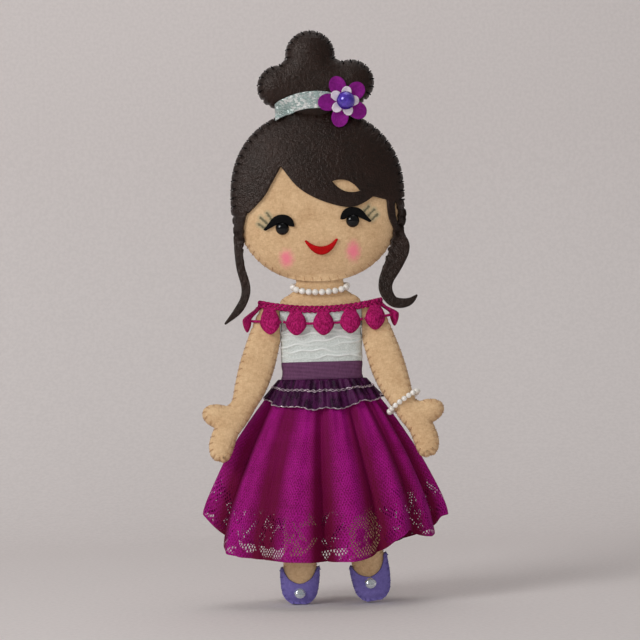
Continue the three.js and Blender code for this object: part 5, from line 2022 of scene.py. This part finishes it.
@dataclass
class Leg:
    """A stuffed leg with a felt shoe and a stone on it.

    Attributes:
        side: Which leg.
        spread: Degrees outward.
        shoe: Heights over the sole of the shoe's outer tip, inner tip and neckline.
        form: The leg's stations from the foot up.
        neckline: Shares of the way out and up along half of the shoe's neckline.
        toe: The lower end of the shoe's side.
        hip: Distance of the hip from the middle, and its height.
        sole: Height of the sole in the leg's frame.
        grow: From the leg's panel to the shoe's outside.
        frame: Where the leg's own frame is.
        body: The body it moves with.
    """

    side: Side
    spread: float
    shoe: Triple
    form: Limb = field(default_factory=lambda: Limb((
        (-90.4, 6, 3.2), (-88.4, 12, 6.6), (-84, 16.6, 9.4), (-77, 18, 10.4), (-65.4, 17.6, 10.8),
        (-45.2, 17.2, 11.4), (-19.9, 18.8, 11.6), (-3, 18.8, 10.2), (2.75, 14, 9.5), (5.5, 3, 2.7),
    ), 1.5))
    neckline: tuple[Spot, ...] = ((0.5, 0.24), (0.76, 0.62), (0.93, 1))
    toe: tuple[Spot, ...] = ((9.3, -86.2), (8.2, -88.3), (6.4, -90.3), (4, -91.7))
    hip: Spot = (12.0, 92.0)
    sole: float = -92.0
    grow: float = 1.6
    frame: Matrix = field(init=False)
    body: str = field(init=False)

    def __post_init__(self) -> None:
        """Places the leg's own frame at the hip."""
        place = Matrix.Translation((self.side.value * self.hip[0], 0, self.hip[1]))
        turn = -self.side.value * math.radians(self.spread)
        self.frame = place @ Matrix.Rotation(turn, 4, "Y")
        self.body = f"leg_{self.side.word}"

    def build(self) -> None:
        """Makes the leg's panels, its stitches, the shoe and the stone."""
        sewn = Sewn(Outline(self.form.outline(), 0.8), 4.0, 0.4)
        for face in Face:
            bm = self.form.panel(face, 26, 100)
            sewn.pucker(bm)
            close_seam(bm, face)
            stuffed(bm, self.body, face, self.body, matrix=self.frame)
        runs = sewn.stitches(self.form.half, 1.8, where=lambda p: -73 < p[1] < -20)
        name = f"{self.body}_stitches"
        stitches = tubes(runs, SKIN_GAUGE)
        finish(stitches, name, self.body, SKIN_THREAD, "skin_felt", matrix=self.frame)
        self.shoes()
        self.stone()

    def shoes(self) -> None:
        """The shoe's front and back felt, sewn together round the foot."""
        tips = [self.sole + tip for tip in self.shoe[:2]]
        tips = tips[::-1] if self.side is Side.RIGHT else tips
        low, edge = self.sole + self.shoe[2], 9 + self.grow
        sides, rises = [], []
        for sign, tip in zip((-1, 1), tips):
            z = np.linspace(tip - 0.5, -84.5, 12)
            widths, _ = self.form.size(z)
            side = [(w / 2 + self.grow, level) for w, level in zip(widths, z)]
            sides.append([*side, *self.toe])
            rises.append([(sign * edge * x, low + (tip - low) * up) for x, up in self.neckline])
        left, right = sides
        line = through([*rises[0][::-1], (0, low), *rises[1]])
        loop = Outline([*right, *[(-x, z) for x, z in left[::-1]], *[tuple(p) for p in line]], 0.7)

        def half(spots: np.ndarray) -> np.ndarray:
            """Half thickness of the shoe, which thins towards its sole."""
            thin = 2.9 + (spots[:, 1] - self.sole) * 2.2
            return np.minimum(self.form.half(spots, self.grow), thin)

        def in_seam(place: Vector) -> bool:
            """Whether a place is where the front and the back are sewn together."""
            if place.z >= tips[place.x > 0] - 0.4:
                return False
            width = float(self.form.size(np.array(place.z))[0])
            return abs(place.x) > width / 2 + self.grow - 1.0 or place.z < -86

        sewn = Sewn(loop, 3.4, 0.1)
        shoe = f"shoe_{self.side.word}"
        for face in Face:
            bm = fill_outline([loop], 0.9, (0.22,))
            drape(bm, half, face)
            sewn.pucker(bm, in_seam)
            close_seam(bm, face, sewn=in_seam)
            name = f"{shoe}_{face.word}"
            piece = finish(
                bm, f"{name}_felt", self.body, SHOE, "violet_felt", [name], FELT, self.frame
            )
            (max(self.shoe) + 4) * MM
            2.1 * loop.area
        runs = sewn.stitches(half, 1.5, where=lambda p: in_seam(Vector((p[0], 0, p[1]))))
        name = f"{shoe}_stitches"
        stitches = tubes(runs, SHOE_GAUGE)
        finish(stitches, name, self.body, SHOE_THREAD, "violet_felt", matrix=self.frame)

    def stone(self) -> None:
        """A round cut stone in the middle of the shoe's front."""
        node = f"stone_{self.side.word}"
        low, high = box_of(node)
        centre = (low + high) / 2
        bm = bmesh.new()
        wide, base = 3.0, 1.0
        facets = ((3.05, 0.4, 0), (2.0, -0.75, 15), (1.7, -0.85, 0))  # radius, level and turn
        first = bmesh.ops.create_circle(bm, segments=12, radius=wide, cap_ends=False)["verts"]
        bmesh.ops.rotate(bm, verts=first, matrix=UPRIGHT.to_3x3())
        bmesh.ops.translate(bm, verts=first, vec=(0, base, 0))
        ring = [e for e in bm.edges if e.is_boundary or e.is_wire]
        for radius, level, turn in facets:
            made = bmesh.ops.extrude_edge_only(bm, edges=ring)["geom"]
            verts = [g for g in made if isinstance(g, bmesh.types.BMVert)]
            for vert in verts:
                flat = Vector((vert.co.x, 0, vert.co.z)).normalized() * radius
                vert.co = Vector((flat.x, level, flat.z))
            spin = Matrix.Rotation(math.radians(turn), 3, "Y")
            bmesh.ops.rotate(bm, verts=verts, matrix=spin)
            edges = [g for g in made if isinstance(g, bmesh.types.BMEdge)]
            ring = [e for e in edges if all(v in verts for v in e.verts)]
        bmesh.ops.contextual_create(bm, geom=ring)
        bmesh.ops.holes_fill(bm, edges=[e for e in bm.edges if e.is_boundary])
        bmesh.ops.triangulate(bm, faces=[f for f in bm.faces if len(f.verts) == 4])
        bmesh.ops.recalc_face_normals(bm, faces=bm.faces[:])
        lean = Matrix.Rotation(math.radians(-16), 4, "X")
        finish(
            bm, f"stone_{self.side.word}_cut", self.body, STONE, "rhinestone", [node],
            matrix=Matrix.Translation(Vector(centre)) @ lean, flat=True,
        )


# The room


@dataclass
class Studio:
    """A pale sweep, soft light, and the camera where the photograph was taken.

    Attributes:
        view: Width of the picture at the doll, in metres.
        distance: From the camera to the doll's middle plane.
        aim: Where the camera looks.
        roll: Degrees that the camera is turned.
    """

    view: float = 0.3392
    distance: float = 1.3
    aim: Triple = (-0.0004, -0.006, 0.151)
    roll: float = -1.52

    def camera(self) -> None:
        """A long lens, level with the doll's middle."""
        data = bpy.data.cameras.new("camera")
        data.sensor_width = sensor = 36.0
        data.lens = sensor * self.distance / self.view
        holder = bpy.data.objects.new("camera", data)
        bpy.context.scene.collection.objects.link(holder)
        place = Matrix.Translation((self.aim[0], self.aim[1] - self.distance, self.aim[2]))
        roll = Matrix.Rotation(math.radians(self.roll), 4, "Z")
        holder.matrix_world = place @ (UPRIGHT @ roll)
        bpy.context.scene.camera = holder

    def clear_behind(self, material: bpy.types.Material) -> bpy.types.Material:
        """Lets a view from the doll's back see through the backdrop."""
        tree = material.node_tree
        end = next(node for node in tree.nodes if node.type == "OUTPUT_MATERIAL").inputs["Surface"]
        paper = end.links[0].from_socket
        side = tree.nodes.new("ShaderNodeNewGeometry").outputs["Backfacing"]
        clear = tree.nodes.new("ShaderNodeBsdfTransparent").outputs["BSDF"]
        mix = tree.nodes.new("ShaderNodeMixShader")
        for start, socket in zip((side, paper, clear), mix.inputs):
            tree.links.new(start, socket)
        tree.links.new(mix.outputs["Shader"], end)
        return material

    def sweep(self) -> None:
        """The floor and the backdrop in one bent sheet."""
        bm = bmesh.new()
        start, bend = 0.35, 0.3
        line = [(-2.5, 0.0), (start, 0.0)]
        for t in np.linspace(0.1, math.pi / 2, 14):
            line.append((start + bend * math.sin(t), bend - bend * math.cos(t)))
        line.append((0.65, 2.6))
        verts = [bm.verts.new((-3.0, y, z)) for y, z in line]
        edges = [bm.edges.new(pair) for pair in zip(verts, verts[1:])]
        made = bmesh.ops.extrude_edge_only(bm, edges=edges)["geom"]
        far = [g for g in made if isinstance(g, bmesh.types.BMVert)]
        bmesh.ops.translate(bm, verts=far, vec=(6, 0, 0))
        bm.normal_update()
        wrong = [f for f in bm.faces if f.normal.dot(Vector((0, -1, 1))) < 0]
        bmesh.ops.reverse_faces(bm, faces=wrong)
        mesh = bpy.data.meshes.new("sweep")
        bm.to_mesh(mesh)
        bm.free()
        mesh.shade_smooth()
        mesh.materials.append(self.clear_behind(PAPER.material()))
        floor = bpy.data.objects.new("sweep", mesh)
        bpy.context.scene.collection.objects.link(floor)

    def lamp(
        self, name: str, place: Triple, size: float, power: float
    ) -> bpy.types.Object:
        """A square soft light that faces the doll."""
        data = bpy.data.lights.new(name, "AREA")
        data.size = size
        data.energy = power
        holder = bpy.data.objects.new(name, data)
        bpy.context.scene.collection.objects.link(holder)
        holder.location = place
        away = Vector(place) - Vector((0, 0, 0.15))
        holder.rotation_euler = away.to_track_quat("Z", "Y").to_euler()
        return holder

    def build(self) -> None:
        """Sets up the camera, the sweep and the light."""
        scene = bpy.context.scene
        scene.view_settings.view_transform = "Standard"
        self.camera()
        self.sweep()
        self.lamp("key", (-0.95, -0.95, 0.8), 0.6, 10.2)
        self.lamp("fill", (0.2, -1.5, 0.0), 0.9, 9.8).visible_glossy = False
        self.lamp("top", (0.1, 0.1, 1.5), 0.9, 3.4)
        world = bpy.data.worlds.new("room")
        world.use_nodes = True
        sky = world.node_tree.nodes["Background"].inputs
        sky["Color"].default_value = (1, 1, 1, 1)
        sky["Strength"].default_value = 0.22
        scene.world = world


def main() -> None:
    """Builds the doll over its frame, in order, and logs each piece's faces."""
    logging.basicConfig(level=logging.INFO, format="%(name)s: %(message)s")
    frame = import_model()
    Studio().build()
    for name in frame["nodes"]:
        if name.endswith("_filling"):
            node = bpy.data.objects[name]
            node.data.materials.clear()
            node.data.materials.append(FLEECE.material())
    Torso().build()
    Head().build()
    Trim().build()
    for side in Side:
        Arm(side).build()
    Leg(Side.LEFT, 2.0, (19.4, 20.1, 11.3)).build()
    Leg(Side.RIGHT, 8.0, (24.3, 20.1, 13.5)).build()


if __name__ == "__main__":
    main()
